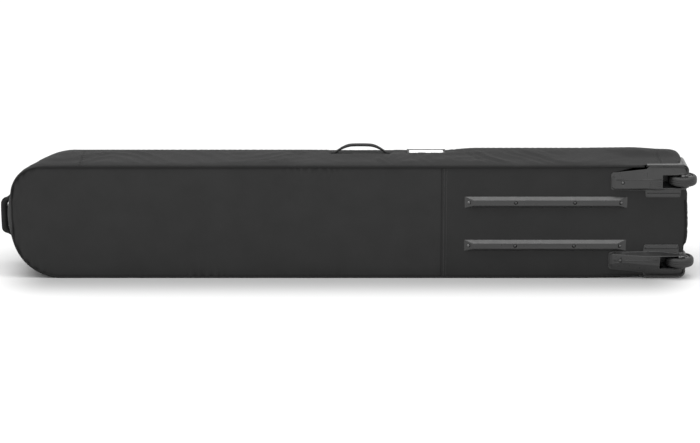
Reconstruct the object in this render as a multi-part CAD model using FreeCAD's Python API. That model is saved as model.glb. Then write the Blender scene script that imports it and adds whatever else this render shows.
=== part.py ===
import FreeCAD, Part
import math
import os

from FreeCAD import Vector

# A wheeled travel bag for a snowboard, standing on one long side. All sizes are in millimetres.
# X runs from the rounded nose to the wheeled tail, Y from the base (-Y, wheels and skid rails) to the
# lid (+Y), and Z up. The origin is on the floor, under the middle of the bag.

# Bag body
LENGTH = 1680.0
WIDTH = 290.0
DEPTH = 160.0
NOSE_TOP_RADIUS = 78.0
LID_NOSE_TOP_RADIUS = 155.0
NOSE_LOW_RADIUS = 122.0
TAIL_RADIUS = 28.0
TAIL_RISE_LOW = 6.0
TAIL_RISE_TOP = 2.0
RISE_FROM_X = 590.0
RISE_TO_X = 741.0
SEAM_X = 235.0

# Layers of the wall
SKIN = 1.2
FOAM = 5.0
LINING = 0.8
LID_FOAM = 5.8
BOARD = 2.5
PIPING = 4.0
PIPING_INSET = 0.6

# Zip and lid
ZIP_LINE = 13.0
COIL_WIDTH = 1.5
COIL_GAP = 1.0
SLIDER_X = 8.5
SLIDER_HALF = 7.0
PULL_LENGTH = 42.0
LID_INSET = 17.0
ZIP_LOW_END = 21.0
WALL_FRONT = 71.9

# Wheels, after a 72 mm skate wheel on two 608 bearings
WHEEL_RADIUS = 36.0
WHEEL_WIDTH = 24.0
WHEEL_X = 832.0
WHEEL_Y = -72.5
WHEEL_SPREAD = 105.0
TAIL_MIDDLE_Z = 149.0
HUB_RADIUS = 24.0
HUB_WIDTH = 20.0
BEARING_OUTER = 11.0
BEARING_BORE = 4.0
BEARING_WIDTH = 7.0
WINDOW_RADIUS = 3.4
WINDOW_REACH = 17.3
BALL_COUNT = 7
BALL_RADIUS = 1.45
BALL_TRACK = 9.2
TYRE_SHOULDER = 8.0
HUB_WINDOWS = 6

# Wheel housing
HOUSING_X = 653.0
GUARD_X = 741.0
WELL_X = 780.0
WELL_HALF = 16.0
WELL_FLOOR_Y = -34.0
HOUSING_WALL = 2.5
GUARD_WALL = 3.0
HUMP_HEIGHT = 20.0
INNER_FLANGE = 44.0
BOSS_REACH = 24.0
BOSS_RADIUS = 11.5
AXLE_END = 5.5
TAIL_STAND = 6.0
GUARD_RADIUS = 16.0
GUARD_BACK_Y = -4.0
HEAD_ROOM = 8.0
RIM_HEIGHT = 3.5
INNER_FLANGE_X = 827.0
CLEARANCE = 0.3
HOUSING_SCREW_X = 682.0
HOUSING_SCREW_SEAT = -89.5

# Skid rails
RAIL_X = 288.0
RAIL_LENGTH = 410.0
RAIL_WIDTH = 31.0
RAIL_TOP_WIDTH = 13.0
RAIL_HEIGHT = 9.0
RAIL_END_SLOPE = 24.0
RAIL_SPREAD = 56.0
RAIL_MIDDLE_Z = 141.0
RAIL_SCREW_PITCHES = (13.0, 117.0, 147.0, 115.0)
SCREW_SHANK = 2.0
SCREW_HEAD = 3.8
COUNTERBORE = 4.6
RAIL_SCREW_SEAT = -84.5

# Handles, straps and label
SIDE_HANDLE_X = 32.0
SIDE_HANDLE_Y = 42.0
SIDE_HANDLE_SPAN = 127.0
SIDE_HANDLE_RISE = 25.0
SIDE_PIVOT_HEIGHT = 6.0
SIDE_WEBBING = 20.0
SIDE_WEBBING_THICK = 4.4
NOSE_HANDLE_Z = 141.0
NOSE_HANDLE_SPAN = 98.0
NOSE_HANDLE_REACH = 36.0
NOSE_GRIP = 16.0
TAIL_HANDLE_Z = 178.0
TAIL_HANDLE_SPAN = 80.0
TAIL_HANDLE_REACH = 14.5
TAIL_GRIP = 3.0
END_PIVOT_REACH = 5.5
PATCH = 1.6
STRAP_WIDTH = 25.0
STRAP_THICK = 1.6
LABEL_X = 198.0
LABEL_Y = 60.0
LABEL_LENGTH = 97.0
LABEL_DEPTH = 40.0
LABEL_BORDER = 4.0
STRAP_PLACES = (-350.0, 250.0)
BUCKLE_Z = 126.0
BUCKLE_SOCKET = 32.0
BUCKLE_THICK = 9.0

# Places that follow from the sizes above
NOSE_X = -LENGTH / 2
TAIL_X = LENGTH / 2
BASE_Y = -DEPTH / 2
LID_Y = DEPTH / 2
BASE_INNER_Y = BASE_Y + SKIN
FOAM_TOP_Y = BASE_INNER_Y + FOAM + 1.0
LINING_TOP_Y = FOAM_TOP_Y + LINING
WALL_INNER = SKIN + FOAM + LINING
BOARD_TOP_Y = BASE_INNER_Y + BOARD
UPPER_WHEEL_Z = TAIL_MIDDLE_Z + WHEEL_SPREAD
LOWER_WHEEL_Z = TAIL_MIDDLE_Z - WHEEL_SPREAD
PULL_AXIS_Y = LID_Y + 3.8
Y_AXIS, Z_AXIS = Vector(0, 1, 0), Vector(0, 0, 1)


# ---------------------------------------------------------------- helpers


def box(x0, x1, y0, y1, z0, z1):
    return Part.makeBox(x1 - x0, y1 - y0, z1 - z0, Vector(x0, y0, z0))


def cylinder(radius, start, end):
    along = end - start
    return Part.makeCylinder(radius, along.Length, start, along)


def tube(outer, inner, start, end):
    return cylinder(outer, start, end).cut(cylinder(inner, start, end))


def rounded_face(corners, place):
    """Face of a polygon whose (u, v, radius) corners are rounded. place turns (u, v) into a point."""
    points = [Vector(u, v, 0) for u, v, _ in corners]
    stretches = []
    for i, (_, _, radius) in enumerate(corners):
        here, before, after = points[i], points[i - 1], points[(i + 1) % len(points)]
        if radius <= 0:
            stretches.append((here, None, here))
            continue
        back = (before - here).normalize()
        onward = (after - here).normalize()
        half = back.getAngle(onward) / 2
        inward = (back + onward).normalize()
        reach = radius / math.tan(half)
        middle = here + inward * (radius / math.sin(half) - radius)
        stretches.append((here + back * reach, middle, here + onward * reach))
    edges = []
    for i, (start, middle, end) in enumerate(stretches):
        if middle is not None:
            edges.append(Part.Arc(place(start), place(middle), place(end)).toShape())
        follows = stretches[(i + 1) % len(stretches)][0]
        if (follows - end).Length > 1e-6:
            edges.append(Part.LineSegment(place(end), place(follows)).toShape())
    return Part.Face(Part.Wire(edges))


def prism_y(corners, y0, y1):
    """Solid between y0 and y1 whose outline in X and Z has the given (x, z, radius) corners."""
    face = rounded_face(corners, lambda p: Vector(p.x, y0, p.y))
    return face.extrude(Vector(0, y1 - y0, 0))


def prism_z(corners, z0, z1):
    """Solid between z0 and z1 whose outline in X and Y has the given (x, y, radius) corners."""
    face = rounded_face(corners, lambda p: Vector(p.x, p.y, z0))
    return face.extrude(Vector(0, 0, z1 - z0))


def fuse(shapes):
    shapes = list(shapes)
    return shapes[0].multiFuse(shapes[1:]).removeSplitter() if len(shapes) > 1 else shapes[0]


def group(shapes):
    return Part.makeCompound([solid for shape in shapes for solid in shape.Solids])


def mirrored(shape):
    """The same shape on the other side of the tail's middle plane."""
    return shape.mirror(Vector(0, 0, TAIL_MIDDLE_Z), Z_AXIS)


# ---------------------------------------------------------------- the bag's outline


def outline(inset, y):
    """Corners of the bag's side outline at depth y, moved inward by inset. The nose is rounder at the lid."""
    x0, x1 = NOSE_X + inset, TAIL_X - inset
    low, top = inset, WIDTH - inset
    tail_low, tail_top = TAIL_RISE_LOW + inset, WIDTH + TAIL_RISE_TOP - inset
    tail_radius = max(TAIL_RADIUS - inset, 3.0)
    nose_top = NOSE_TOP_RADIUS + (LID_NOSE_TOP_RADIUS - NOSE_TOP_RADIUS) * (y - BASE_Y) / DEPTH
    return [
        (x0, low, NOSE_LOW_RADIUS - inset),
        (RISE_FROM_X, low, 0),
        (RISE_TO_X, tail_low, 0),
        (x1, tail_low, tail_radius),
        (x1, tail_top, tail_radius),
        (RISE_TO_X, tail_top, 0),
        (RISE_FROM_X, top, 0),
        (x0, top, nose_top - inset),
    ]


def outline_wire(inset, y):
    return rounded_face(outline(inset, y), lambda p: Vector(p.x, y, p.y)).OuterWire


def between_depths(insets, y0, y1):
    """Solid from y0 to y1 with ruled sides through one outline for each of the insets, outermost first."""
    faces = []
    for y in (y0, y1):
        wires = [outline_wire(inset, y) for inset in insets]
        faces += Part.makeFace(wires, "Part::FaceMakerBullseye").Faces
    for inset in insets:
        wires = [outline_wire(inset, y) for y in (y0, y1)]
        faces += Part.makeLoft(wires, False, True).Faces
    shell = Part.makeShell(faces)
    shell.sewShape()
    return Part.Solid(shell)


def slab(inset, y0, y1):
    return between_depths((inset,), y0, y1)


def ring(outer, inner, y0, y1):
    return between_depths((outer, inner), y0, y1)


def well_openings():
    """The space that both wheel wells and their axles take out of the fabric, foam and board."""
    spaces = []
    half = WELL_HALF + HOUSING_WALL + CLEARANCE
    reach = BOSS_REACH + AXLE_END + CLEARANCE
    depth = WELL_FLOOR_Y + HOUSING_WALL + CLEARANCE
    left = WELL_X - HOUSING_WALL - CLEARANCE
    boss = BOSS_RADIUS + CLEARANCE
    for z in (UPPER_WHEEL_Z, LOWER_WHEEL_Z):
        spaces.append(box(left, TAIL_X + 20, BASE_Y - 20, depth, z - half, z + half))
        spaces.append(
            box(WHEEL_X - boss, TAIL_X + 20, BASE_Y - 20, WHEEL_Y + boss, z - reach, z + reach)
        )
    return group(spaces)


# ---------------------------------------------------------------- fasteners


def rail_screw_places():
    places = []
    for z in (RAIL_MIDDLE_Z - RAIL_SPREAD, RAIL_MIDDLE_Z + RAIL_SPREAD):
        x = RAIL_X
        for pitch in RAIL_SCREW_PITCHES:
            x += pitch
            places.append((x, z))
    return places


def housing_screw_places():
    return [(HOUSING_SCREW_X, UPPER_WHEEL_Z - 4), (HOUSING_SCREW_X, LOWER_WHEEL_Z + 4)]


def screw(x, z, seat_y):
    """Dome-headed cross-recess screw driven along +Y, its head's underside at seat_y."""
    end_y = BOARD_TOP_Y + 3.3
    shank = cylinder(SCREW_SHANK, Vector(x, seat_y - 0.5, z), Vector(x, end_y, z))
    dome = Part.makeSphere(5.0, Vector(x, seat_y + 2.4, z))
    head = dome.common(cylinder(SCREW_HEAD, Vector(x, seat_y - 3, z), Vector(x, seat_y, z)))
    slots = fuse(
        [
            box(x - 2, x + 2, seat_y - 4, seat_y - 1.2, z - 0.45, z + 0.45),
            box(x - 0.45, x + 0.45, seat_y - 4, seat_y - 1.2, z - 2, z + 2),
        ]
    )
    return fuse([shank, head]).cut(slots)


def washer(x, z):
    return tube(7.0, 2.2, Vector(x, BOARD_TOP_Y, z), Vector(x, BOARD_TOP_Y + 1, z))


def nut(x, z):
    bottom = BOARD_TOP_Y + 1
    hexagon = [
        (x + 4.0 * math.cos(math.radians(60 * i)), z + 4.0 * math.sin(math.radians(60 * i)), 0)
        for i in range(6)
    ]
    hole = cylinder(SCREW_SHANK + 0.02, Vector(x, bottom - 1, z), Vector(x, bottom + 4, z))
    return prism_y(hexagon, bottom, bottom + 2.4).cut(hole)


def fastener_holes(y0, y1, radius):
    places = rail_screw_places() + housing_screw_places()
    return group(cylinder(radius, Vector(x, y0, z), Vector(x, y1, z)) for x, z in places)


# ---------------------------------------------------------------- base and walls


def base_skin():
    skin = slab(SKIN, BASE_Y, BASE_INNER_Y).cut(well_openings())
    return skin.cut(fastener_holes(BASE_Y - 1, BASE_INNER_Y + 1, SCREW_SHANK + 0.1))


def base_panel():
    return base_skin().common(box(NOSE_X - 1, SEAM_X, BASE_Y - 1, 0, -1, WIDTH + 9))


def tail_panel():
    return base_skin().common(box(SEAM_X, TAIL_X + 1, BASE_Y - 1, 0, -1, WIDTH + 9))


def board_blank(y1):
    corners = [(SEAM_X + 10, 16, 15), (818, 16, 15), (818, 280, 15), (SEAM_X + 10, 280, 15)]
    return prism_y(corners, BASE_INNER_Y, y1)


def stiffener_board():
    board = board_blank(BOARD_TOP_Y).cut(well_openings())
    return board.cut(fastener_holes(BASE_INNER_Y - 1, BOARD_TOP_Y + 1, SCREW_SHANK + 0.1))


def base_foam():
    foam = slab(SKIN + FOAM, BASE_INNER_Y, FOAM_TOP_Y).cut(board_blank(BOARD_TOP_Y))
    foam = foam.cut(well_openings())
    return foam.cut(fastener_holes(BASE_INNER_Y - 1, FOAM_TOP_Y + 1, 7.5))


def base_lining():
    return slab(SKIN + FOAM, FOAM_TOP_Y, LINING_TOP_Y).cut(well_openings())


def gussets():
    """The outer wall strip, sewn from four pieces: top, bottom, nose and tail."""
    wall = ring(0, SKIN, BASE_Y, LID_Y - 1).cut(well_openings())
    nose_seam, tail_seam = NOSE_X + 175, TAIL_X - 60
    y0, y1, middle = BASE_Y - 1, LID_Y, WIDTH / 2
    return {
        "nose_gusset": wall.common(box(NOSE_X - 1, nose_seam, y0, y1, -1, WIDTH + 9)),
        "top_gusset": wall.common(box(nose_seam, tail_seam, y0, y1, middle, WIDTH + 9)),
        "bottom_gusset": wall.common(box(nose_seam, tail_seam, y0, y1, -1, middle)),
        "tail_gusset": wall.common(box(tail_seam, TAIL_X + 1, y0, y1, -1, WIDTH + 9)),
    }


def gusset_foam():
    return ring(SKIN, SKIN + FOAM, BASE_INNER_Y, WALL_FRONT).cut(well_openings())


def gusset_lining():
    return ring(SKIN + FOAM, WALL_INNER, LINING_TOP_Y, WALL_FRONT).cut(well_openings())


def piping(y0):
    """Cord sewn round one edge of the bag."""
    return ring(PIPING_INSET, PIPING_INSET + PIPING, y0, y0 + PIPING)


def back_piping():
    guards = []
    for z0, z1 in ((UPPER_WHEEL_Z - INNER_FLANGE - 1, WIDTH + 9), (-1, LOWER_WHEEL_Z + INNER_FLANGE + 1)):
        guards.append(box(GUARD_X - 5, TAIL_X + 9, BASE_Y - 9, 0, z0, z1))
    return piping(BASE_Y - PIPING).cut(group(guards))


def front_piping():
    return piping(LID_Y - 1)


# ---------------------------------------------------------------- zip and lid


def above_zip_ends(shape):
    return shape.common(box(NOSE_X - 9, TAIL_X + 9, 0, DEPTH, ZIP_LOW_END, WIDTH + 9))


def zip_tape_bag():
    return above_zip_ends(ring(SKIN, ZIP_LINE - COIL_GAP - COIL_WIDTH, LID_Y - 1.8, LID_Y - 1))


def zip_coil_bag():
    outer = ZIP_LINE - COIL_GAP - COIL_WIDTH
    return above_zip_ends(ring(outer, outer + COIL_WIDTH, LID_Y - 2.6, LID_Y + 0.2))


def zip_stops():
    """Metal clips over the bag side of the chain, at both of its low ends."""
    outer = ZIP_LINE - COIL_GAP - COIL_WIDTH
    clip = ring(outer - 1.2, outer + COIL_WIDTH, LID_Y + 0.2, LID_Y + 1.2)
    return clip.common(box(NOSE_X - 9, TAIL_X + 9, 0, DEPTH, ZIP_LOW_END + 1, ZIP_LOW_END + 5))


def lid_hinge_strip():
    strip = ring(SKIN, LID_INSET - 0.4, LID_Y - 1.8, LID_Y - 1)
    return strip.common(box(NOSE_X - 9, TAIL_X + 9, 0, DEPTH, -1, ZIP_LOW_END - 0.2))


def lid_parts():
    skin_y = LID_Y - SKIN
    foam_y = skin_y - LID_FOAM
    inner = ZIP_LINE + COIL_GAP + COIL_WIDTH
    return {
        "lid_panel": slab(LID_INSET, skin_y, LID_Y),
        "lid_foam": slab(LID_INSET + 1, foam_y, skin_y),
        "lid_lining": slab(LID_INSET + 1, foam_y - LINING, foam_y),
        "zip_tape_lid": above_zip_ends(ring(inner, LID_INSET, LID_Y - 1.8, LID_Y - 1)),
        "zip_coil_lid": above_zip_ends(ring(inner - COIL_WIDTH, inner, LID_Y - 2.6, LID_Y + 0.2)),
    }


def slider(x):
    """Slider that holds the bag side's coil between two plates, joined by a post in the chain's gap."""
    z = WIDTH - ZIP_LINE
    low, high = z - 0.8, z + 6.5
    front = box(x - SLIDER_HALF, x + SLIDER_HALF, LID_Y + 0.6, LID_Y + 2.2, low, high)
    back = box(x - SLIDER_HALF, x + SLIDER_HALF, LID_Y - 4.6, LID_Y - 3.0, low, high)
    post = box(x - 2.5, x + 2.5, LID_Y - 3.0, LID_Y + 0.6, low, z + 0.8)
    foot_y, top_y = LID_Y + 2.2, LID_Y + 5.6
    bridge_end = [(x - 5, foot_y, 0), (x - 4, top_y, 1), (x + 4, top_y, 1), (x + 5, foot_y, 0)]
    bridge = prism_z(bridge_end, z + 2, z + 4)
    window = cylinder(1.4, Vector(x, PULL_AXIS_Y, z), Vector(x, PULL_AXIS_Y, z + 9))
    return fuse([front, back, post, bridge.cut(window)])


def pull(x, toward):
    """Pull whose cross bar turns in the slider's bridge; toward is the X direction that it points in."""
    z = WIDTH - ZIP_LINE + 3
    bar = cylinder(1.1, Vector(x, PULL_AXIS_Y, z - 3.4), Vector(x, PULL_AXIS_Y, z + 3.4))
    y0, y1 = PULL_AXIS_Y - 0.8, PULL_AXIS_Y + 0.8
    root_x, tip_x = x + toward * 9, x + toward * PULL_LENGTH
    arms = []
    for side in (-1, 1):
        za, zb = sorted((z + side * 2.0, z + side * 3.4))
        arms.append(box(min(x, root_x), max(x, root_x), y0, y1, za, zb))
    left, right = sorted((root_x - toward, tip_x))
    tab = prism_y([(left, z - 4.5, 2), (right, z - 4.5, 2), (right, z + 4.5, 2), (left, z + 4.5, 2)], y0, y1)
    return fuse([bar, tab] + arms)


# ---------------------------------------------------------------- wheels and axles


def on_axle(shape, z):
    """A shape made about the Z axis at the origin, moved onto a wheel's axle."""
    moved = shape.copy()
    moved.translate(Vector(WHEEL_X, WHEEL_Y, z))
    return moved


def disc(outer, inner, z0, z1):
    return tube(outer, inner, Vector(0, 0, z0), Vector(0, 0, z1))


def tyre():
    half = WHEEL_WIDTH / 2
    band = disc(WHEEL_RADIUS, HUB_RADIUS, -half, half)
    rims = [e for e in band.Edges if abs(e.BoundBox.XMax - WHEEL_RADIUS) < 0.01 and e.BoundBox.ZLength < 0.01]
    return band.makeFillet(TYRE_SHOULDER, rims)


def hub():
    half = HUB_WIDTH / 2
    seat = half - BEARING_WIDTH
    core = disc(HUB_RADIUS, BEARING_OUTER - 1.5, -half, half)
    for side in (-1, 1):
        start, end = sorted((side * seat, side * (half + 1)))
        core = core.cut(cylinder(BEARING_OUTER, Vector(0, 0, start), Vector(0, 0, end)))
    for i in range(HUB_WINDOWS):
        turn = math.radians(360 / HUB_WINDOWS * i)
        middle = Vector(WINDOW_REACH * math.cos(turn), WINDOW_REACH * math.sin(turn), -half - 1)
        core = core.cut(cylinder(WINDOW_RADIUS, middle, middle + Z_AXIS * (2 * half + 2)))
    return core


def bearing_places():
    seat = HUB_WIDTH / 2 - BEARING_WIDTH
    return ((-HUB_WIDTH / 2, -seat), (seat, HUB_WIDTH / 2))


def bearing_races():
    """Outer rings of a wheel's two bearings, each with a seal on both faces."""
    races = []
    for z0, z1 in bearing_places():
        seals = [disc(BALL_TRACK, 6.4, z0, z0 + 0.4), disc(BALL_TRACK, 6.4, z1 - 0.4, z1)]
        races.append(fuse([disc(BEARING_OUTER, BALL_TRACK, z0, z1)] + seals))
    return group(races)


def bearing_balls():
    balls = []
    for z0, z1 in bearing_places():
        for i in range(BALL_COUNT):
            turn = math.radians(360 / BALL_COUNT * i)
            reach = BALL_TRACK - BALL_RADIUS
            place = Vector(reach * math.cos(turn), reach * math.sin(turn), (z0 + z1) / 2)
            balls.append(Part.makeSphere(BALL_RADIUS, place))
    return group(balls)


def bearing_inner_rings():
    return group(disc(6.0, BEARING_BORE, z0, z1) for z0, z1 in bearing_places())


def axle_spacers():
    """Sleeves on the axle: one between the bearings, and one from each bearing to its side of the well."""
    seat, half = HUB_WIDTH / 2 - BEARING_WIDTH, HUB_WIDTH / 2
    spans = ((-WELL_HALF, -half), (-seat, seat), (half, WELL_HALF))
    return group(disc(5.6, BEARING_BORE, z0, z1) for z0, z1 in spans)


def axle_bolt(outward):
    """Shouldered bolt through the well. Its hex-socket head is on the side that outward (+1 or -1) names."""
    ends = Vector(0, 0, -outward * (BOSS_REACH + AXLE_END)), Vector(0, 0, outward * BOSS_REACH)
    head_end = Vector(0, 0, outward * (BOSS_REACH + 4))
    socket_start = Vector(0, 0, outward * (BOSS_REACH + 1.2))
    head = cylinder(7.0, ends[1], head_end).cut(cylinder(2.6, socket_start, head_end * 1.1))
    return cylinder(BEARING_BORE, *ends).fuse(head).removeSplitter()


def axle_nut(outward):
    z0, z1 = sorted((-outward * BOSS_REACH, -outward * (BOSS_REACH + 5)))
    hexagon = [
        (7.0 * math.cos(math.radians(60 * i)), 7.0 * math.sin(math.radians(60 * i)), 0) for i in range(6)
    ]
    bore = cylinder(BEARING_BORE, Vector(0, 0, z0 - 1), Vector(0, 0, z1 + 1))
    return prism_z(hexagon, z0, z1).cut(bore)


# ---------------------------------------------------------------- wheel housing


def ramp(stations, y_back):
    """Ruled solid on the base, beside the upper wheel.

    Each station is (x, low back, low front, high front, high back, front y), heights from the wheel's middle.
    """
    sections = []
    for x, low_back, low_front, high_front, high_back, y in stations:
        z = UPPER_WHEEL_Z
        loop = [
            Vector(x, y_back, z + low_back),
            Vector(x, y, z + low_front),
            Vector(x, y, z + high_front),
            Vector(x, y_back, z + high_back),
        ]
        sections.append(Part.makePolygon(loop + loop[:1]))
    return Part.makeLoft(sections, True, True)


def corner_wall(thickness, y0, y1):
    """Wall of the guard along the bag's upper side and down its tail, round one corner."""
    low, high = UPPER_WHEEL_Z - WELL_HALF - HOUSING_WALL, WIDTH + TAIL_RISE_TOP + GUARD_WALL
    x1 = TAIL_X + TAIL_STAND
    outer = prism_y([(GUARD_X, low, 0), (x1, low, 0), (x1, high, GUARD_RADIUS), (GUARD_X, high, 0)], y0, y1)
    edge, top = x1 - thickness, high - thickness
    inner_radius = GUARD_RADIUS - thickness
    inner = prism_y(
        [(GUARD_X - 1, low - 1, 0), (edge, low - 1, 0), (edge, top, inner_radius), (GUARD_X - 1, top, 0)],
        y0 - 1,
        y1 + 1,
    )
    return outer.cut(inner)


def housing():
    """The upper wheel's moulded housing: flange, ramped hump, well with axle bosses, and corner guard."""
    z, front = UPPER_WHEEL_Z, BASE_Y - 2.5
    hump_y = BASE_Y - HUMP_HEIGHT
    low = z - INNER_FLANGE
    guard_edge = WIDTH + TAIL_RISE_TOP + GUARD_WALL
    half = WELL_HALF + HOUSING_WALL
    flange = prism_y(
        [
            (HOUSING_X, z - 24.5, 8),
            (GUARD_X - 2, z - 25.5, 3),
            (GUARD_X, low, 5),
            (INNER_FLANGE_X, low, 5),
            (INNER_FLANGE_X + 2, z - half, 2),
            (TAIL_X + TAIL_STAND, z - half, 0),
            (TAIL_X + TAIL_STAND, guard_edge, GUARD_RADIUS),
            (GUARD_X, guard_edge, 1),
            (GUARD_X - 2, z + 29, 3),
            (HOUSING_X, z + 20, 8),
        ],
        front,
        BASE_Y,
    )
    sweep = prism_z(
        [
            (GUARD_X - 1, front, 0),
            (GUARD_X - 1, BASE_Y + 5, 0),
            (824, BASE_Y + 6, 12),
            (836, GUARD_BACK_Y, 3),
            (TAIL_X + 9, GUARD_BACK_Y, 0),
            (TAIL_X + 9, front, 0),
        ],
        low,
        guard_edge + 1,
    )
    guard = corner_wall(GUARD_WALL, front, GUARD_BACK_Y + 1).common(sweep)
    rim = corner_wall(GUARD_WALL + 1, front - RIM_HEIGHT, front)
    strip = box(GUARD_X + 3, INNER_FLANGE_X - 2, front - 1.6, front, low + 1.5, low + 11)
    hump = ramp(
        [
            (HOUSING_X + 1.5, -18, -17, 9, 12, front - 1),
            (HOUSING_X + 9, -23.5, -20, 6, 19, front - 6),
            (HOUSING_X + 32, -24, -19, 1, 22, front - 9.5),
            (GUARD_X, -25, -17, 5, 28, hump_y + 3),
            (GUARD_X + 7, -25, -17, 5, 35, hump_y + 2.5),
            (WELL_X, -25, -half, 7, 36, hump_y),
            (TAIL_X - 20, -20, -half, 9, 36, hump_y + 2),
            (TAIL_X - 4, -half - 1, -half, 14, 33, hump_y + 8),
            (TAIL_X + TAIL_STAND - 1.5, -half - 1, -half, 16, 24, front - 1),
        ],
        front,
    )
    hollow = ramp(
        [
            (HOUSING_X + 42, -12, -7, 0, 9, hump_y + 11),
            (GUARD_X + 8, -15, -10, 2, 12, hump_y + 5.5),
            (WELL_X - HOUSING_WALL, -17, -14, 4, 15, hump_y + 3),
        ],
        BASE_Y,
    )
    deep = WELL_FLOOR_Y + HOUSING_WALL
    cheek_outline = [
        (WELL_X - HOUSING_WALL, deep, 6),
        (TAIL_X - 3, deep, 3),
        (TAIL_X - 3, WHEEL_Y + 9, 3),
        (TAIL_X + 8, WHEEL_Y + 4, 7),
        (TAIL_X + 8, WHEEL_Y - 10, 8),
        (TAIL_X - 8, hump_y + 7, 10),
        (WELL_X - HOUSING_WALL, hump_y + 7, 0),
    ]
    cheeks = prism_z(cheek_outline, z - half, z + half)
    axle_low, axle_high = Vector(WHEEL_X, WHEEL_Y, z - BOSS_REACH), Vector(WHEEL_X, WHEEL_Y, z + BOSS_REACH)
    bosses = cylinder(BOSS_RADIUS, axle_low, axle_high)
    well = box(WELL_X, TAIL_X + 20, BASE_Y - 40, WELL_FLOOR_Y, z - WELL_HALF, z + WELL_HALF)
    body = fuse([flange, guard, rim, strip, hump, cheeks, bosses]).cut(hollow).cut(well)
    bore = cylinder(BEARING_BORE + 0.02, axle_low - Z_AXIS, axle_high + Z_AXIS)
    head_room = [
        cylinder(HEAD_ROOM, axle_low - Z_AXIS * (AXLE_END + 1), axle_low),
        cylinder(HEAD_ROOM, axle_high, axle_high + Z_AXIS * (AXLE_END + 1)),
    ]
    screw_x, screw_z = HOUSING_SCREW_X, z - 4
    seat = Vector(screw_x, HOUSING_SCREW_SEAT, screw_z)
    hole = cylinder(SCREW_SHANK + 0.1, seat - Y_AXIS * 9, seat + Y_AXIS * 12)
    counterbore = cylinder(COUNTERBORE, seat - Y_AXIS * 20, seat)
    return body.cut(group([bore, hole, counterbore] + head_room))


# ---------------------------------------------------------------- skid rails


def rail(z):
    """Skid rail with a trapezoid section and sloped ends."""
    x0, x1 = RAIL_X, RAIL_X + RAIL_LENGTH
    sections = []
    for y, inset, width in ((BASE_Y, 0, RAIL_WIDTH), (BASE_Y - RAIL_HEIGHT, RAIL_END_SLOPE, RAIL_TOP_WIDTH)):
        half = width / 2
        loop = [
            Vector(x0 + inset, y, z - half),
            Vector(x1 - inset, y, z - half),
            Vector(x1 - inset, y, z + half),
            Vector(x0 + inset, y, z + half),
        ]
        sections.append(Part.makePolygon(loop + loop[:1]))
    body = Part.makeLoft(sections, True, True)
    holes = []
    for x, screw_z in rail_screw_places():
        if abs(screw_z - z) < 1:
            seat = Vector(x, RAIL_SCREW_SEAT, screw_z)
            holes.append(cylinder(SCREW_SHANK + 0.1, seat, seat + Y_AXIS * 20))
            holes.append(cylinder(COUNTERBORE, seat - Y_AXIS * 20, seat))
    return body.cut(group(holes))


# ---------------------------------------------------------------- handles


def band(stations, across):
    """Strap along a path of (centre, half width, thickness) stations. Its width lies along across."""
    sections = []
    for i, (centre, half_width, thickness) in enumerate(stations):
        before = stations[max(i - 1, 0)][0]
        after = stations[min(i + 1, len(stations) - 1)][0]
        normal = (after - before).normalize().cross(across) * (thickness / 2)
        side = across * half_width
        front, back = centre + normal, centre - normal
        loop = [front + side, front - side, back - side, back + side]
        sections.append(Part.makePolygon(loop + loop[:1]))
    return Part.makeLoft(sections, True, True)


def both_ways(half_path):
    """A path and widths given from one end to the middle, completed by its mirror image: (t, rise, half)."""
    return half_path + [(-t, rise, half) for t, rise, half in reversed(half_path)]


def side_handle():
    """Webbing arch on top of the bag, narrowed at both feet, where it turns on the line through them."""
    end = SIDE_HANDLE_SPAN / 2 - 0.3
    top = SIDE_HANDLE_RISE - SIDE_PIVOT_HEIGHT - SIDE_WEBBING_THICK / 2
    wide = SIDE_WEBBING / 2
    profile = both_ways(
        [
            (-end, 0, 3),
            (-end + 2, 0, 3),
            (-end + 9, top * 0.3, 4.5),
            (-end + 17, top * 0.56, 8),
            (-end + 28, top * 0.83, wide),
            (-end + 42, top, wide),
        ]
    )
    stations = []
    for t, rise, half in profile:
        centre = Vector(SIDE_HANDLE_X + t, SIDE_HANDLE_Y, WIDTH + SIDE_PIVOT_HEIGHT + rise)
        stations.append((centre, half, SIDE_WEBBING_THICK))
    return band(stations, Y_AXIS)


def side_handle_base():
    """Webbing strip sewn along the top of the bag, doubled at both ends of the arch."""
    reach = SIDE_HANDLE_SPAN / 2
    y0, y1 = SIDE_HANDLE_Y - SIDE_WEBBING / 2, SIDE_HANDLE_Y + SIDE_WEBBING / 2
    pieces = [box(SIDE_HANDLE_X - reach - 10, SIDE_HANDLE_X + reach + 10, y0, y1, WIDTH, WIDTH + 2)]
    for side in (-1, 1):
        x0, x1 = sorted((SIDE_HANDLE_X + side * reach, SIDE_HANDLE_X + side * (reach + 10)))
        foot = box(x0, x1, y0 + 3, y1 - 3, WIDTH + 2, WIDTH + SIDE_PIVOT_HEIGHT + 1.5)
        pieces.append(foot)
    return fuse(pieces)


def end_handle(face_x, out, middle_z, span, reach, wide, thickness, grip):
    """Webbing loop on the nose or the tail, folded to the thickness grip in its middle.

    out is the X direction that it stands out in.
    """
    end = span / 2 - 0.3
    pivot = END_PIVOT_REACH
    top = reach - pivot - grip / 2
    profile = both_ways(
        [
            (-end, 0, 3),
            (-end + 2, 0, 3),
            (-end + 6, top * 0.45, wide * 0.7),
            (-end + 13, top * 0.88, wide * 0.95),
            (-end + 22, top, wide),
        ]
    )
    stations = []
    for t, rise, half in profile:
        thick = thickness + (grip - thickness) * max(0, rise / top - 0.45) / 0.55
        stations.append((Vector(face_x + out * (pivot + rise), 0, middle_z + t), half, thick))
    return band(stations, Y_AXIS)


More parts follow.
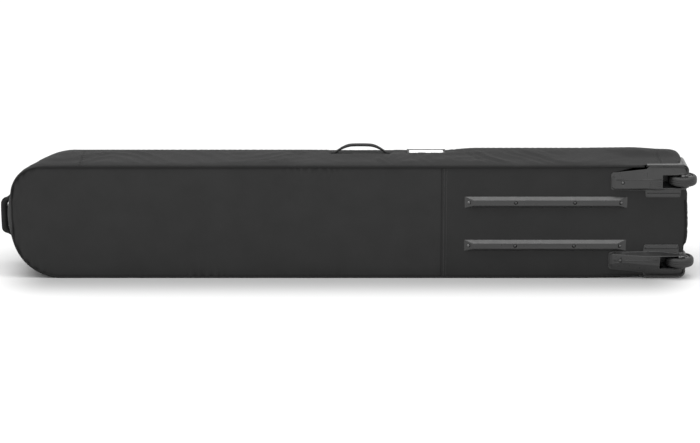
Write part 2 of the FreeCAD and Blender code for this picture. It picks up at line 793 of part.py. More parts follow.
def end_handle_patch(face_x, out, middle_z, span, z0, z1):
    """Reinforcing patch under a nose or tail handle, with the sewn foot at each end of the loop."""
    x0, x1 = sorted((face_x + out * 3, face_x - out * 70))
    patch = ring(-PATCH, 0, -22, 22).common(box(x0, x1, -23, 23, z0, z1))
    feet = []
    for side in (-1, 1):
        za, zb = sorted((middle_z + side * span / 2, middle_z + side * (span / 2 + 10)))
        xa, xb = sorted((face_x - out * 8, face_x + out * (END_PIVOT_REACH + 2)))
        feet.append(box(xa, xb, -7, 7, za, zb).cut(slab(0, -8, 8)))
    return fuse([patch] + feet)


# ---------------------------------------------------------------- label pocket, tie-down straps


def label_pocket():
    """Backing and raised border of the address-label pocket."""
    x0, x1 = LABEL_X - LABEL_LENGTH / 2, LABEL_X + LABEL_LENGTH / 2
    y0, y1 = LABEL_Y - LABEL_DEPTH / 2, LABEL_Y + LABEL_DEPTH / 2
    backing = box(x0, x1, y0, y1, WIDTH, WIDTH + 0.8)
    border = box(x0, x1, y0, y1, WIDTH + 0.8, WIDTH + 2)
    hole = box(x0 + LABEL_BORDER, x1 - LABEL_BORDER, y0 + LABEL_BORDER, y1 - LABEL_BORDER, WIDTH, WIDTH + 3)
    return fuse([backing, border.cut(hole)])


def label_sheet(inset, z0, z1):
    x0, x1 = LABEL_X - LABEL_LENGTH / 2 + inset, LABEL_X + LABEL_LENGTH / 2 - inset
    y0, y1 = LABEL_Y - LABEL_DEPTH / 2 + inset, LABEL_Y + LABEL_DEPTH / 2 - inset
    return box(x0, x1, y0, y1, z0, z1)


def tie_straps():
    straps = []
    y0 = LINING_TOP_Y
    for x in STRAP_PLACES:
        x0, x1 = x - STRAP_WIDTH / 2, x + STRAP_WIDTH / 2
        straps.append(box(x0, x1, y0, y0 + STRAP_THICK, WALL_INNER, BUCKLE_Z + 24))
        straps.append(box(x0, x1, y0, y0 + STRAP_THICK, BUCKLE_Z + 40, WIDTH - WALL_INNER))
    return group(straps)


def buckle_sockets():
    """Female halves of the side-release buckles, open towards +Z, with a window in each side."""
    sockets = []
    y0 = LINING_TOP_Y + STRAP_THICK
    for x in STRAP_PLACES:
        shell = prism_y(
            [
                (x - 16, BUCKLE_Z, 5),
                (x + 16, BUCKLE_Z, 5),
                (x + 16, BUCKLE_Z + BUCKLE_SOCKET, 2),
                (x - 16, BUCKLE_Z + BUCKLE_SOCKET, 2),
            ],
            y0,
            y0 + BUCKLE_THICK,
        )
        inner_y0, inner_y1 = y0 + 2, y0 + BUCKLE_THICK - 2
        cavity = box(x - 13, x + 13, inner_y0, inner_y1, BUCKLE_Z + 6, BUCKLE_Z + BUCKLE_SOCKET + 1)
        windows = box(x - 20, x + 20, inner_y0, inner_y1, BUCKLE_Z + 12, BUCKLE_Z + 24)
        sockets.append(shell.cut(cavity).cut(windows))
    return group(sockets)


def buckle_plug(x):
    """Male half of a buckle: a yoke with two prongs and a middle guide."""
    y0 = LINING_TOP_Y + STRAP_THICK
    z0 = BUCKLE_Z + BUCKLE_SOCKET + 0.3
    yoke = prism_y(
        [(x - 15, z0, 1), (x + 15, z0, 1), (x + 15, z0 + 15, 4), (x - 15, z0 + 15, 4)],
        y0 + 0.3,
        y0 + BUCKLE_THICK - 0.6,
    )
    slot = box(x - 12, x + 12, y0, y0 + BUCKLE_THICK, z0 + 7, z0 + 11)
    prongs = []
    for left, right, length in ((-12.4, -8.2, 24), (8.2, 12.4, 24), (-1.6, 1.6, 20)):
        prongs.append(box(x + left, x + right, y0 + 2.5, y0 + BUCKLE_THICK - 2.5, z0 - length, z0 + 1))
    return fuse([yoke.cut(slot)] + prongs)


# ---------------------------------------------------------------- all parts


def bag_parts():
    parts = {
        "base_panel": base_panel(),
        "tail_panel": tail_panel(),
        "stiffener_board": stiffener_board(),
        "base_foam": base_foam(),
        "base_lining": base_lining(),
        "gusset_foam": gusset_foam(),
        "gusset_lining": gusset_lining(),
        "back_piping": back_piping(),
        "front_piping": front_piping(),
        "zip_tape_bag": zip_tape_bag(),
        "zip_coil_bag": zip_coil_bag(),
        "zip_stops": zip_stops(),
        "lid_hinge_strip": lid_hinge_strip(),
    }
    parts.update(gussets())
    parts.update(lid_parts())
    for number, toward in ((1, -1), (2, 1)):
        parts[f"zip_slider_{number}"] = slider(toward * SLIDER_X)
        parts[f"zip_pull_{number}"] = pull(toward * SLIDER_X, toward)
    return parts


def running_gear():
    upper_housing = housing()
    parts = {
        "upper_wheel_housing": upper_housing,
        "lower_wheel_housing": mirrored(upper_housing),
        "housing_screws": group(screw(x, z, HOUSING_SCREW_SEAT) for x, z in housing_screw_places()),
        "upper_skid_rail": rail(RAIL_MIDDLE_Z + RAIL_SPREAD),
        "lower_skid_rail": rail(RAIL_MIDDLE_Z - RAIL_SPREAD),
        "rail_screws": group(screw(x, z, RAIL_SCREW_SEAT) for x, z in rail_screw_places()),
        "screw_washers": group(washer(x, z) for x, z in rail_screw_places() + housing_screw_places()),
        "screw_nuts": group(nut(x, z) for x, z in rail_screw_places() + housing_screw_places()),
    }
    for name, z in (("upper", UPPER_WHEEL_Z), ("lower", LOWER_WHEEL_Z)):
        parts[f"{name}_tyre"] = on_axle(tyre(), z)
        parts[f"{name}_hub"] = on_axle(hub(), z)
        parts[f"{name}_bearing_races"] = on_axle(bearing_races(), z)
        parts[f"{name}_bearing_balls"] = on_axle(bearing_balls(), z)
    wheels = ((1, UPPER_WHEEL_Z), (-1, LOWER_WHEEL_Z))
    parts["bearing_inner_rings"] = group(on_axle(bearing_inner_rings(), z) for _, z in wheels)
    parts["axle_spacers"] = group(on_axle(axle_spacers(), z) for _, z in wheels)
    parts["axle_bolts"] = group(on_axle(axle_bolt(-side), z) for side, z in wheels)
    parts["axle_nuts"] = group(on_axle(axle_nut(-side), z) for side, z in wheels)
    return parts


def fittings():
    nose = (NOSE_X, -1, NOSE_HANDLE_Z, NOSE_HANDLE_SPAN)
    tail = (TAIL_X, 1, TAIL_HANDLE_Z, TAIL_HANDLE_SPAN)
    card_z = WIDTH + 0.8
    parts = {
        "side_handle_base": side_handle_base(),
        "side_handle": side_handle(),
        "nose_handle_patch": end_handle_patch(*nose, 70, 214),
        "nose_handle": end_handle(*nose, NOSE_HANDLE_REACH, 9.5, 4, NOSE_GRIP),
        "tail_handle_patch": end_handle_patch(*tail, 122, 234),
        "tail_handle": end_handle(*tail, TAIL_HANDLE_REACH, 12, 3, TAIL_GRIP),
        "label_pocket": label_pocket(),
        "label_card": label_sheet(LABEL_BORDER + 2, card_z, card_z + 0.5),
        "label_window": label_sheet(LABEL_BORDER, card_z + 0.5, card_z + 1.0),
        "tie_straps": tie_straps(),
        "buckle_sockets": buckle_sockets(),
    }
    for number, x in enumerate(STRAP_PLACES, 1):
        parts[f"buckle_plug_{number}"] = buckle_plug(x)
    return parts


def main():
    os.makedirs("parts", exist_ok=True)
    parts = {**bag_parts(), **running_gear(), **fittings()}
    for name, shape in sorted(parts.items()):
        shape.exportStep(f"parts/{name}.step")
        size = shape.BoundBox
        print(
            f"{name:22} valid {shape.isValid()} solids {len(shape.Solids):2}"
            f" volume {shape.Volume / 1000:9.2f} cm3"
            f"  x {size.XMin:7.1f} {size.XMax:7.1f}  y {size.YMin:7.1f} {size.YMax:7.1f}"
            f"  z {size.ZMin:6.1f} {size.ZMax:6.1f}"
        )
    print(len(parts), "nodes")


main()
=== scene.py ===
"""Looks of a wheeled snowboard bag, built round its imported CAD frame.

All sizes are in metres. X runs from the rounded nose to the wheeled tail, Y from the base, with its wheels
and skid rails, to the zipped lid, and Z is up.
"""

import math

import bmesh
import bpy
import numpy as np
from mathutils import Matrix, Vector, noise
from mathutils.bvhtree import BVHTree


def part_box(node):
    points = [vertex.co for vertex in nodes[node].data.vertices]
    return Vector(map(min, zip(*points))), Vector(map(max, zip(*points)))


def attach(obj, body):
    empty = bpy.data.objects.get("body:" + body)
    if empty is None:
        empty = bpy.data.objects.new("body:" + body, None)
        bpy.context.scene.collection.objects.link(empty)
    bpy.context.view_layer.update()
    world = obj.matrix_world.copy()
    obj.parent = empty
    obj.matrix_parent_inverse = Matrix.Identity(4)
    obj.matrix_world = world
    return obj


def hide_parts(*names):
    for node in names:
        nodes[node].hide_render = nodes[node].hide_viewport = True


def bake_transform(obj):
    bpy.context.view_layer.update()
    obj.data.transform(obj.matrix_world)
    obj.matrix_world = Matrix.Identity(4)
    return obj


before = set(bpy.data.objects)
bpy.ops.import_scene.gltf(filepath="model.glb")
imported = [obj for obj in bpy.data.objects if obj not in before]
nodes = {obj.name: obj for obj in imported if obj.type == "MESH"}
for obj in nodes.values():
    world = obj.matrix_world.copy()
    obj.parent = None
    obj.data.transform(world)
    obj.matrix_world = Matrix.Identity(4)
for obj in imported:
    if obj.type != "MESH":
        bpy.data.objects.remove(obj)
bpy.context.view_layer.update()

MM = 0.001


def low(node):
    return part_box(node)[0]


def high(node):
    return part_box(node)[1]


def middle_and_half(node):
    """Middle of a CAD part's box, and half its size."""
    lowest, highest = (np.array(corner, float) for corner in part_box(node))
    return (lowest + highest) / 2, (highest - lowest) / 2


# ---------------- sizes

NOSE_X, TAIL_X = low("nose_gusset").x, high("tail_gusset").x
BASE_Y, LID_Y = low("base_panel").y, high("lid_panel").y
SEAM_X = high("base_panel").x
NOSE_SEAM_X, TAIL_SEAM_X = high("nose_gusset").x, low("tail_gusset").x
WIDTH = 290 * MM
NOSE_TOP_RADIUS, LID_NOSE_TOP_RADIUS = 78 * MM, 155 * MM
NOSE_LOW_RADIUS, TAIL_RADIUS = 122 * MM, 28 * MM
RISE_FROM_X, RISE_TO_X, BEND_RADIUS = 590 * MM, 741 * MM, 0.8
TAIL_RISE_LOW, TAIL_RISE_TOP = 6 * MM, 2 * MM
SKIN, LINING = 1.2 * MM, 0.8 * MM
HEM, OVERLAP = 1 * MM, 2 * MM
WALL_INNER = 7 * MM
FLOOR_Y = high("base_lining").y
WALL_FRONT_Y = high("gusset_lining").y
LID_INNER_Y = low("lid_lining").y
ZIP_LINE, ZIP_LOW_END = 13 * MM, low("zip_coil_bag").z
LID_INSET = 17 * MM
PIPING_INSET = 2.5 * MM
GUARD_X = 741 * MM
UPPER_GUARD_Z, LOWER_GUARD_Z = low("upper_wheel_housing").z, high("lower_wheel_housing").z
UPPER_WHEEL_Z, LOWER_WHEEL_Z = 254 * MM, 44 * MM
WHEEL_X, WHEEL_Y = 832 * MM, -72.5 * MM
WELL_X = 778 * MM
SIDE_WEBBING_THICK = 4.4 * MM
NOSE_HANDLE_Z = middle_and_half("nose_handle")[0][2]
STRAP_PLACES = (-350 * MM, 250 * MM)
STRAP_HALF_WIDTH, STRAP_THICK = 12.5 * MM, 1.6 * MM
STEP, FINE_STEP = 7 * MM, 1 * MM
WALL_ROWS = 26
# how far the padding swells the cloth outward: the lid's rim of the upper wall, the nose, and the tail
EDGE_LIFT, NOSE_BULGE, TAIL_BULGE, TAIL_LID_BULGE = 5 * MM, 16 * MM, 4 * MM, 6 * MM
# how far the wall's wadding lets the cloth sink inward
WADDING_GIVE = 0.8 * MM
# how far round a part that is sewn on the wall the cloth lies flat, on the upper side and at the ends
SEWN_TOP, SEWN_END = np.array([3, 3, 60]) * MM, np.array([60, 0, 0]) * MM

X_AXIS, Y_AXIS, Z_AXIS = np.eye(3)


# ---------------- materials


class Shader:
    """A principled material that is built up from procedural nodes in the object's own coordinates."""

    def __init__(self, name, **sockets):
        self.material = bpy.data.materials.new(name)
        self.material.use_nodes = True
        self.nodes = self.material.node_tree.nodes
        self.links = self.material.node_tree.links
        self.bsdf = self.nodes["Principled BSDF"]
        self.place = self.nodes.new("ShaderNodeTexCoord").outputs["Object"]
        for socket, value in sockets.items():
            self.bsdf.inputs[socket.replace("_", " ")].default_value = value

    def feed(self, socket, value):
        """Links another node's output to a socket, or sets its value."""
        if isinstance(value, bpy.types.NodeSocket):
            self.links.new(value, socket)
        else:
            socket.default_value = value

    def add(self, kind, **inputs):
        node = self.nodes.new(kind)
        for name, value in inputs.items():
            self.feed(node.inputs[name], value)
        return node

    def calc(self, operation, *values):
        node = self.nodes.new("ShaderNodeMath")
        node.operation = operation
        for socket, value in zip(node.inputs, values):
            self.feed(socket, value)
        return node.outputs[0]

    def axes(self):
        return self.add("ShaderNodeSeparateXYZ", Vector=self.place).outputs

    def cloud(self, scale, detail=3.0, stretch=(1, 1, 1)):
        """Soft noise from 0 to 1, with scale spots to the metre."""
        spread_out = self.add("ShaderNodeMapping", Vector=self.place, Scale=stretch).outputs[0]
        return self.add("ShaderNodeTexNoise", Vector=spread_out, Scale=scale, Detail=detail).outputs[0]

    def ripples(self, pitch):
        """Threads that cross at right angles, whichever way the surface faces, from -1 to 1."""
        waves = [self.calc("SINE", self.calc("MULTIPLY", axis, 2 * math.pi / pitch)) for axis in self.axes()]
        total = self.calc("ADD", waves[0], waves[1])
        return self.calc("MULTIPLY", self.calc("ADD", total, waves[2]), 1 / 3)

    def tint(self, dark, light, by):
        mix = self.nodes.new("ShaderNodeMix")
        mix.data_type = "RGBA"
        mix.inputs["A"].default_value = (*dark, 1)
        mix.inputs["B"].default_value = (*light, 1)
        self.links.new(by, mix.inputs["Factor"])
        self.links.new(mix.outputs["Result"], self.bsdf.inputs["Base Color"])

    def rough(self, smoothest, roughest, by):
        span = self.add("ShaderNodeMapRange", Value=by)
        span.inputs["To Min"].default_value = smoothest
        span.inputs["To Max"].default_value = roughest
        self.links.new(span.outputs[0], self.bsdf.inputs["Roughness"])

    def bump(self, height, distance, strength=1.0):
        """Adds relief on top of any relief that is there already, and gives the material back."""
        relief = self.add("ShaderNodeBump", Height=height, Distance=distance, Strength=strength)
        normal = self.bsdf.inputs["Normal"]
        if normal.is_linked:
            self.links.new(normal.links[0].from_socket, relief.inputs["Normal"])
        self.links.new(relief.outputs[0], normal)
        return self.material


def grey(value):
    return (value, value, value)


def woven(name, shade, pitch, roughness, depth, sheen=0.2):
    """Cloth: crossing threads, a little fuzz, and slow changes of tone."""
    made = Shader(name, Sheen_Weight=sheen, Sheen_Roughness=0.45, Specular_IOR_Level=0.12)
    made.tint(grey(shade * 0.86), grey(shade * 1.16), made.cloud(14, 4))
    made.rough(roughness - 0.06, roughness + 0.06, made.cloud(60))
    made.bump(made.cloud(420, 4), depth * 1.6, 0.35)
    return made.bump(made.ripples(pitch), depth, 0.6)


def moulded(name, shade, roughness, grain=520, depth=0.12 * MM):
    """Moulded plastic: a fine sandy grain, with smoother rubbed places."""
    made = Shader(name, Specular_IOR_Level=0.5)
    made.tint(grey(shade * 0.9), grey(shade * 1.12), made.cloud(24, 3))
    made.rough(roughness - 0.08, roughness + 0.1, made.cloud(70))
    return made.bump(made.cloud(grain, 5), depth, 0.5)


def metal(name, shade, roughness):
    made = Shader(name, Metallic=1.0)
    made.tint(grey(shade * 0.8), grey(shade), made.cloud(160, 4))
    made.rough(roughness - 0.07, roughness + 0.12, made.cloud(300, 3, (1, 1, 6)))
    return made.bump(made.cloud(900, 2, (1, 1, 5)), 0.03 * MM, 0.4)


def clear_film(name):
    made = Shader(name, Alpha=0.16, Specular_IOR_Level=0.6, Coat_Weight=0.6, Coat_Roughness=0.08)
    made.tint(grey(0.75), grey(0.9), made.cloud(40))
    made.rough(0.08, 0.16, made.cloud(30))
    return made.bump(made.cloud(45, 2), 0.5 * MM, 0.5)


def ruled_card(name):
    """White card with thin ruled lines to write on."""
    made = Shader(name, Roughness=0.6)
    line = made.calc("PINGPONG", made.calc("ADD", made.axes()["Y"], 1.0), 4.2 * MM)
    made.tint(grey(0.93), grey(0.55), made.calc("LESS_THAN", line, 0.25 * MM))
    return made.bump(made.cloud(700), 0.05 * MM, 0.3)


FABRIC = woven("bag_fabric", 0.025, 1.3 * MM, 0.78, 0.16 * MM, sheen=0.02)
TAIL_FABRIC = woven("tarp_fabric", 0.0215, 1.0 * MM, 0.66, 0.10 * MM, sheen=0.02)
PATCH_FABRIC = woven("patch_fabric", 0.016, 1.0 * MM, 0.66, 0.10 * MM, sheen=0.02)
LINING_FABRIC = woven("lining_fabric", 0.105, 1.1 * MM, 0.8, 0.12 * MM, sheen=0.2)
PIPING_VINYL = woven("piping_fabric", 0.012, 1.0 * MM, 0.6, 0.12 * MM, sheen=0.0)
WEBBING = woven("webbing_weave", 0.016, 2.3 * MM, 0.66, 0.34 * MM, sheen=0.03)
THREAD = woven("sewing_thread", 0.05, 0.6 * MM, 0.6, 0.05 * MM)
PLASTIC = moulded("moulded_plastic", 0.021, 0.29, depth=0.07 * MM)
BUCKLE_PLASTIC = moulded("buckle_plastic", 0.03, 0.36, 700, 0.06 * MM)
HUB_PLASTIC = moulded("hub_plastic", 0.03, 0.4)
BOARD = moulded("board_plastic", 0.05, 0.5)
RUBBER = moulded("tyre_rubber", 0.012, 0.5, 600, 0.08 * MM)
TAPE = woven("zip_tape_weave", 0.022, 0.9 * MM, 0.75, 0.14 * MM)
COIL = moulded("zip_coil_nylon", 0.03, 0.32, 900, 0.03 * MM)
GUNMETAL = metal("zip_gunmetal", 0.32, 0.32)
STEEL = metal("bearing_steel_finish", 0.62, 0.25)
BLACK_ZINC = metal("fastener_black_zinc", 0.16, 0.34)
CARD = ruled_card("card_white")
FILM = clear_film("window_film")


# ---------------- meshes

# edges under the first angle are dropped, those over the second rounded, and those over the third stay crisp
FLAT_ANGLE, SHARP_ANGLE, SHADING_ANGLE = (math.radians(turn) for turn in (1.5, 13, 38))
STITCH_SHARE = 0.72


def linked(name, data):
    """New object of the scene, with the given data."""
    obj = bpy.data.objects.new(name, data)
    bpy.context.scene.collection.objects.link(obj)
    return obj


def new_mesh(name, points, faces, material):
    mesh = bpy.data.meshes.new(name)
    mesh.from_pydata([tuple(map(float, p)) for p in points], [], [tuple(map(int, f)) for f in faces])
    mesh.update()
    mesh.materials.append(material)
    mesh.polygons.foreach_set("use_smooth", [True] * len(mesh.polygons))
    return linked(name, mesh)


def grid_faces(columns, rows, close_columns=False, close_rows=False):
    """Quads of a grid whose points are numbered column by column."""
    c = np.arange(columns if close_columns else columns - 1)
    r = np.arange(rows if close_rows else rows - 1)
    c, r = (a.ravel() for a in np.meshgrid(c, r, indexing="ij"))
    c1, r1 = (c + 1) % columns, (r + 1) % rows
    return np.stack([c * rows + r, c1 * rows + r, c1 * rows + r1, c * rows + r1], 1)


def closed_up(obj):
    """Turns every face of a closed mesh outward."""
    bm = bmesh.new()
    bm.from_mesh(obj.data)
    bmesh.ops.recalc_face_normals(bm, faces=bm.faces)
    bm.to_mesh(obj.data)
    bm.free()
    return obj


def sheet_mesh(name, grid, material, outward, close_columns=False, keep=None):
    """Mesh of a grid of points (columns, rows, 3). outward is the way that column 0 faces."""
    columns, rows = grid.shape[:2]
    points = grid.reshape(-1, 3)
    faces = grid_faces(columns, rows, close_columns)
    a, b, c = points[faces[0][0]], points[faces[0][1]], points[faces[0][3]]
    if np.dot(np.cross(b - a, c - a), outward) < 0:
        faces = faces[:, ::-1]
    if keep is not None:
        faces = faces[keep(points[faces].mean(1))]
        used, places = np.unique(faces, return_inverse=True)
        points, faces = points[used], places.reshape(faces.shape)
    return new_mesh(name, points, faces, material)


def thicken(obj, thickness):
    """Gives a sheet its thickness, on the inner side of its surface, and applies it."""
    solid = obj.modifiers.new("thickness", "SOLIDIFY")
    solid.thickness, solid.offset, solid.use_even_offset = thickness, -1.0, False
    return applied(obj)


def applied(obj):
    """Replaces an object's mesh with the one that its modifiers make."""
    graph = bpy.context.evaluated_depsgraph_get()
    made = bpy.data.meshes.new_from_object(obj.evaluated_get(graph), depsgraph=graph)
    obj.modifiers.clear()
    obj.data = made
    return obj


def from_bmesh(name, bm, materials):
    """Mesh from a bmesh, which is then freed."""
    mesh = bpy.data.meshes.new(name)
    bm.to_mesh(mesh)
    bm.free()
    for material in materials:
        mesh.materials.append(material)
    return mesh


def joined(name, objects):
    """Joins meshes into one object, with their materials."""
    bm = bmesh.new()
    materials = []
    for obj in objects:
        start = len(bm.faces)
        bm.from_mesh(obj.data)
        bm.faces.ensure_lookup_table()
        slots = list(obj.data.materials)
        materials += [m for m in slots if m not in materials]
        for face in bm.faces[start:]:
            face.material_index = materials.index(slots[face.material_index])
        bpy.data.objects.remove(obj)
    return linked(name, from_bmesh(name, bm, materials))


def sweep(name, path, side, up, profile, material, closed=False):
    """Carries a closed profile of (side, up) offsets along a path. Each point may have its own profile."""
    path, side, up = (np.asarray(a, float) for a in (path, side, up))
    side, up = np.broadcast_to(side, path.shape), np.broadcast_to(up, path.shape)
    profile = np.broadcast_to(profile, (len(path), *np.shape(profile)[-2:]))
    grid = path[:, None] + profile[..., :1] * side[:, None] + profile[..., 1:] * up[:, None]
    columns, rows = grid.shape[:2]
    faces = [list(f) for f in grid_faces(columns, rows, closed, True)]
    if not closed:
        faces += [list(range(rows)), list(range((columns - 1) * rows, columns * rows))]
    return closed_up(new_mesh(name, grid.reshape(-1, 3), faces, material))


def round_profile(radius, count=10):
    turn = np.arange(count) * 2 * math.pi / count
    return radius * np.stack([np.cos(turn), np.sin(turn)], 1)


def strap_profile(half_width, thickness, count=6):
    """Flat section with round edges, as (side, up) offsets."""
    half = thickness / 2
    turn = np.linspace(-math.pi / 2, math.pi / 2, count)
    right = np.stack([half_width - half + half * np.cos(turn), half * np.sin(turn)], 1)
    inner = np.linspace(0.6, -0.6, 4)[:, None] * [half_width, 0] + [0, half]
    return np.concatenate([right, inner, -right, -inner])


def lengths_along(path):
    """How far along a line of points each of them lies."""
    return np.concatenate([[0], np.cumsum(np.linalg.norm(np.diff(path, axis=0), axis=1))])


def spread(points, step):
    """Points spaced evenly along a smooth curve through a few points."""
    points = np.asarray(points, float)
    padded = np.vstack([2 * points[0] - points[1], points, 2 * points[-1] - points[-2]])
    dense = []
    for p0, p1, p2, p3 in zip(padded, padded[1:], padded[2:], padded[3:]):
        t = np.linspace(0, 1, 24, endpoint=False)[:, None]
        curve = 2 * p1 + (p2 - p0) * t + (2 * p0 - 5 * p1 + 4 * p2 - p3) * t**2
        dense.append(0.5 * (curve + (3 * p1 - p0 - 3 * p2 + p3) * t**3))
    dense = np.vstack(dense + [points[-1:]])
    along = lengths_along(dense)
    even = np.linspace(0, along[-1], max(int(along[-1] / step), 2) + 1)
    return np.stack([np.interp(even, along, axis) for axis in dense.T], 1)


def webbing(name, points, half_width, thickness, across=Y_AXIS, material=WEBBING, step=3 * MM):
    """Woven strap along a curve of points: x, y, z, then its half width and thickness where they change."""
    path = spread(points, step)
    halves = path[:, 3] if path.shape[1] > 3 else np.full(len(path), half_width)
    depths = path[:, 4] if path.shape[1] > 4 else np.full(len(path), thickness)
    path = path[:, :3]
    up = np.cross(np.gradient(path, axis=0), across)
    up /= np.linalg.norm(up, axis=1)[:, None]
    profiles = np.array([strap_profile(half, depth) for half, depth in zip(halves, depths)])
    return sweep(name, path, across, up, profiles, material)


def stitches(name, rows, pitch=4.2 * MM, radius=0.35 * MM):
    """Stitches along rows of (path, outward vector), each a slim spindle half sunk in the cloth."""
    points, faces = [], []
    for path, outward in rows:
        along = lengths_along(path)
        outs = np.broadcast_to(outward, path.shape)
        for start in np.arange(0, along[-1] - pitch * 0.7, pitch):
            ends = (start, start + pitch * STITCH_SHARE)
            a, b = (np.array([np.interp(end, along, axis) for axis in path.T]) for end in ends)
            near = int(np.argmin(((path - a) ** 2).sum(1)))
            up = outs[near] / np.linalg.norm(outs[near])
            side = np.cross(up, (b - a) / np.linalg.norm(b - a))
            middle = (a + b) / 2
            ring = [middle + radius * (up * u + side * s) for u, s in ((1.3, 0), (0, 1), (-1, 0), (0, -1))]
            first = len(points)
            points += [a, b, *ring]
            for i in range(4):
                one, two = first + 2 + i, first + 2 + (i + 1) % 4
                faces += [(first, one, two), (first + 1, two, one)]
    return closed_up(new_mesh(name, points, faces, THREAD))


def bevelled(name, node, body, slot, width, material, segments=2, shortest=2.2 * MM):
    """Puts a copy of a CAD part in its place, with its long sharp edges rounded as moulding leaves them.

    The bevel now and then throws a corner far out, and such a corner goes back to the part's own surface.
    """
    bm = bmesh.new()
    bm.from_mesh(nodes[node].data)
    bmesh.ops.remove_doubles(bm, verts=bm.verts, dist=1e-6)
    bmesh.ops.dissolve_limit(bm, angle_limit=FLAT_ANGLE, verts=bm.verts, edges=bm.edges)
    sharp = [
        e for e in bm.edges
        if len(e.link_faces) == 2 and e.calc_face_angle(0) > SHARP_ANGLE and e.calc_length() > shortest
    ]
    surface = BVHTree.FromBMesh(bm)
    bmesh.ops.bevel(
        bm, geom=sharp, offset=width, segments=segments, profile=0.5, affect="EDGES", clamp_overlap=False
    )
    for vert in bm.verts:
        nearest, _, _, gap = surface.find_nearest(vert.co)
        if gap > width:
            vert.co = nearest
    bmesh.ops.triangulate(bm, faces=[f for f in bm.faces if len(f.verts) > 4])
    mesh = from_bmesh(name, bm, [material])
    mesh.polygons.foreach_set("use_smooth", [True] * len(mesh.polygons))
    mesh.set_sharp_from_angle(angle=SHADING_ANGLE)
    obj = linked(name, mesh)
    normals = obj.modifiers.new("normals", "WEIGHTED_NORMAL")
    normals.keep_sharp, normals.weight = True, 80
    place(applied(obj), body, slot, node)


def place(obj, body, slot, *replaced):
    """Puts a piece on its body and hides the CAD nodes that it stands for. The slot argument is not used."""
    if body:
        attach(obj, body)
    if replaced:
        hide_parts(*replaced)
    return obj


def cloud_at(points, scale, seed=0.0):
    """Smooth noise from about -1 to 1 at each point, with scale lumps to the metre."""
    shift = np.array([seed, 0, -seed])
    return np.array([noise.noise(Vector(place)) for place in points * scale + shift])


# ---------------- the bag's outline


def rounded_outline(nose_top_radius):
    """Dense points round the bag's side outline, as complex x + iz, and the outward normal at each."""
    top = WIDTH + TAIL_RISE_TOP
    corners = [
        (NOSE_X, 0, NOSE_LOW_RADIUS),
        (RISE_FROM_X, 0, BEND_RADIUS),
        (RISE_TO_X, TAIL_RISE_LOW, BEND_RADIUS),
        (TAIL_X, TAIL_RISE_LOW, TAIL_RADIUS),
        (TAIL_X, top, TAIL_RADIUS),
        (RISE_TO_X, top, BEND_RADIUS),
        (RISE_FROM_X, WIDTH, BEND_RADIUS),
        (NOSE_X, WIDTH, nose_top_radius),
    ]
    places = np.array([complex(x, z) for x, z, _ in corners])
    points, normals = [], []
    for i, (_, _, radius) in enumerate(corners):
        here, before, after = places[i], places[i - 1], places[(i + 1) % len(places)]
        heading = (here - before) / abs(here - before)
        turn = np.angle((after - here) / heading)
        side = np.sign(turn)
        facing = -1j * heading * np.exp(1j * turn * np.linspace(0, 1, 60))
        start = here - heading * radius * math.tan(abs(turn) / 2)
        centre = start + 1j * heading * radius * side
        points.append(centre + side * radius * facing)
        normals.append(facing)
    points, normals = np.concatenate(points), np.concatenate(normals)
    return np.append(points, points[0]), np.append(normals, normals[0])


def outline(step):
    """Even (x, z) points round the outline at the base, the matching ones at the lid, and their normals."""
    base, normals = rounded_outline(NOSE_TOP_RADIUS)
    lid, _ = rounded_outline(LID_NOSE_TOP_RADIUS)
    along = np.concatenate([[0], np.cumsum(abs(np.diff(base)))])
    even = np.linspace(0, along[-1], int(along[-1] / step) + 1)[:-1]
    base, lid, facing = (
        np.stack([np.interp(even, along, line.real), np.interp(even, along, line.imag)], 1)
        for line in (base, lid, normals)
    )
    return base, lid, facing / np.linalg.norm(facing, axis=1)[:, None]


LOOP, LID_LOOP, OUT = outline(STEP)
_, FINE_LID_LOOP, FINE_OUT = outline(FINE_STEP)


def points_at(x, y, z):
    """(x, y, z) points from numbers or arrays that fit each other."""
    return np.stack(np.broadcast_arrays(x, y, z), -1).astype(float)


def in_order(wanted):
    """Numbers of the wanted points of the outline, in order round it from the start of a run of them."""
    start = next(i for i in range(len(wanted)) if wanted[i] and not wanted[i - 1])
    order = np.roll(np.arange(len(wanted)), -start)
    return order[wanted[order]]


def in_wells(points, from_x, half, below_y=math.inf):
    """True for points in the wheels' wells: past from_x, within half of a wheel's middle, under below_y."""
    beside = np.minimum(abs(points[:, 2] - UPPER_WHEEL_Z), abs(points[:, 2] - LOWER_WHEEL_Z))
    return (points[:, 0] >= from_x) & (beside <= half) & (points[:, 1] < below_y)


def loop_at(y):
    """The outline's (x, z) points at depth y. The nose is rounder at the lid than at the base."""
    share = (np.broadcast_to(y, len(LOOP)) - BASE_Y) / (LID_Y - BASE_Y)
    return LOOP + (LID_LOOP - LOOP) * share[:, None]


def ring_points(inset, y, loop=None, out=None):
    """The outline moved inward by inset, at depth y, as (x, y, z) points."""
    loop, out = (loop_at(y), OUT) if loop is None else (loop, out)
    flat = loop - np.broadcast_to(inset, len(loop))[:, None] * out
    return points_at(flat[:, 0], y, flat[:, 1])


def ring_out(out=OUT):
    return points_at(out[:, 0], 0, out[:, 1])


def edge_z(x, inset, y):
    """Lowest and highest z of the outline at x and depth y, moved inward by inset."""
    ring = ring_points(inset, y)[:, [0, 2]]
    upper = ring[:, 1] >= WIDTH / 2 + 30 * MM
    ends = []
    for part in (ring[~upper], ring[upper]):
        part = part[np.argsort(part[:, 0])]
        ends.append(np.interp(x, part[:, 0], part[:, 1]))
    return ends


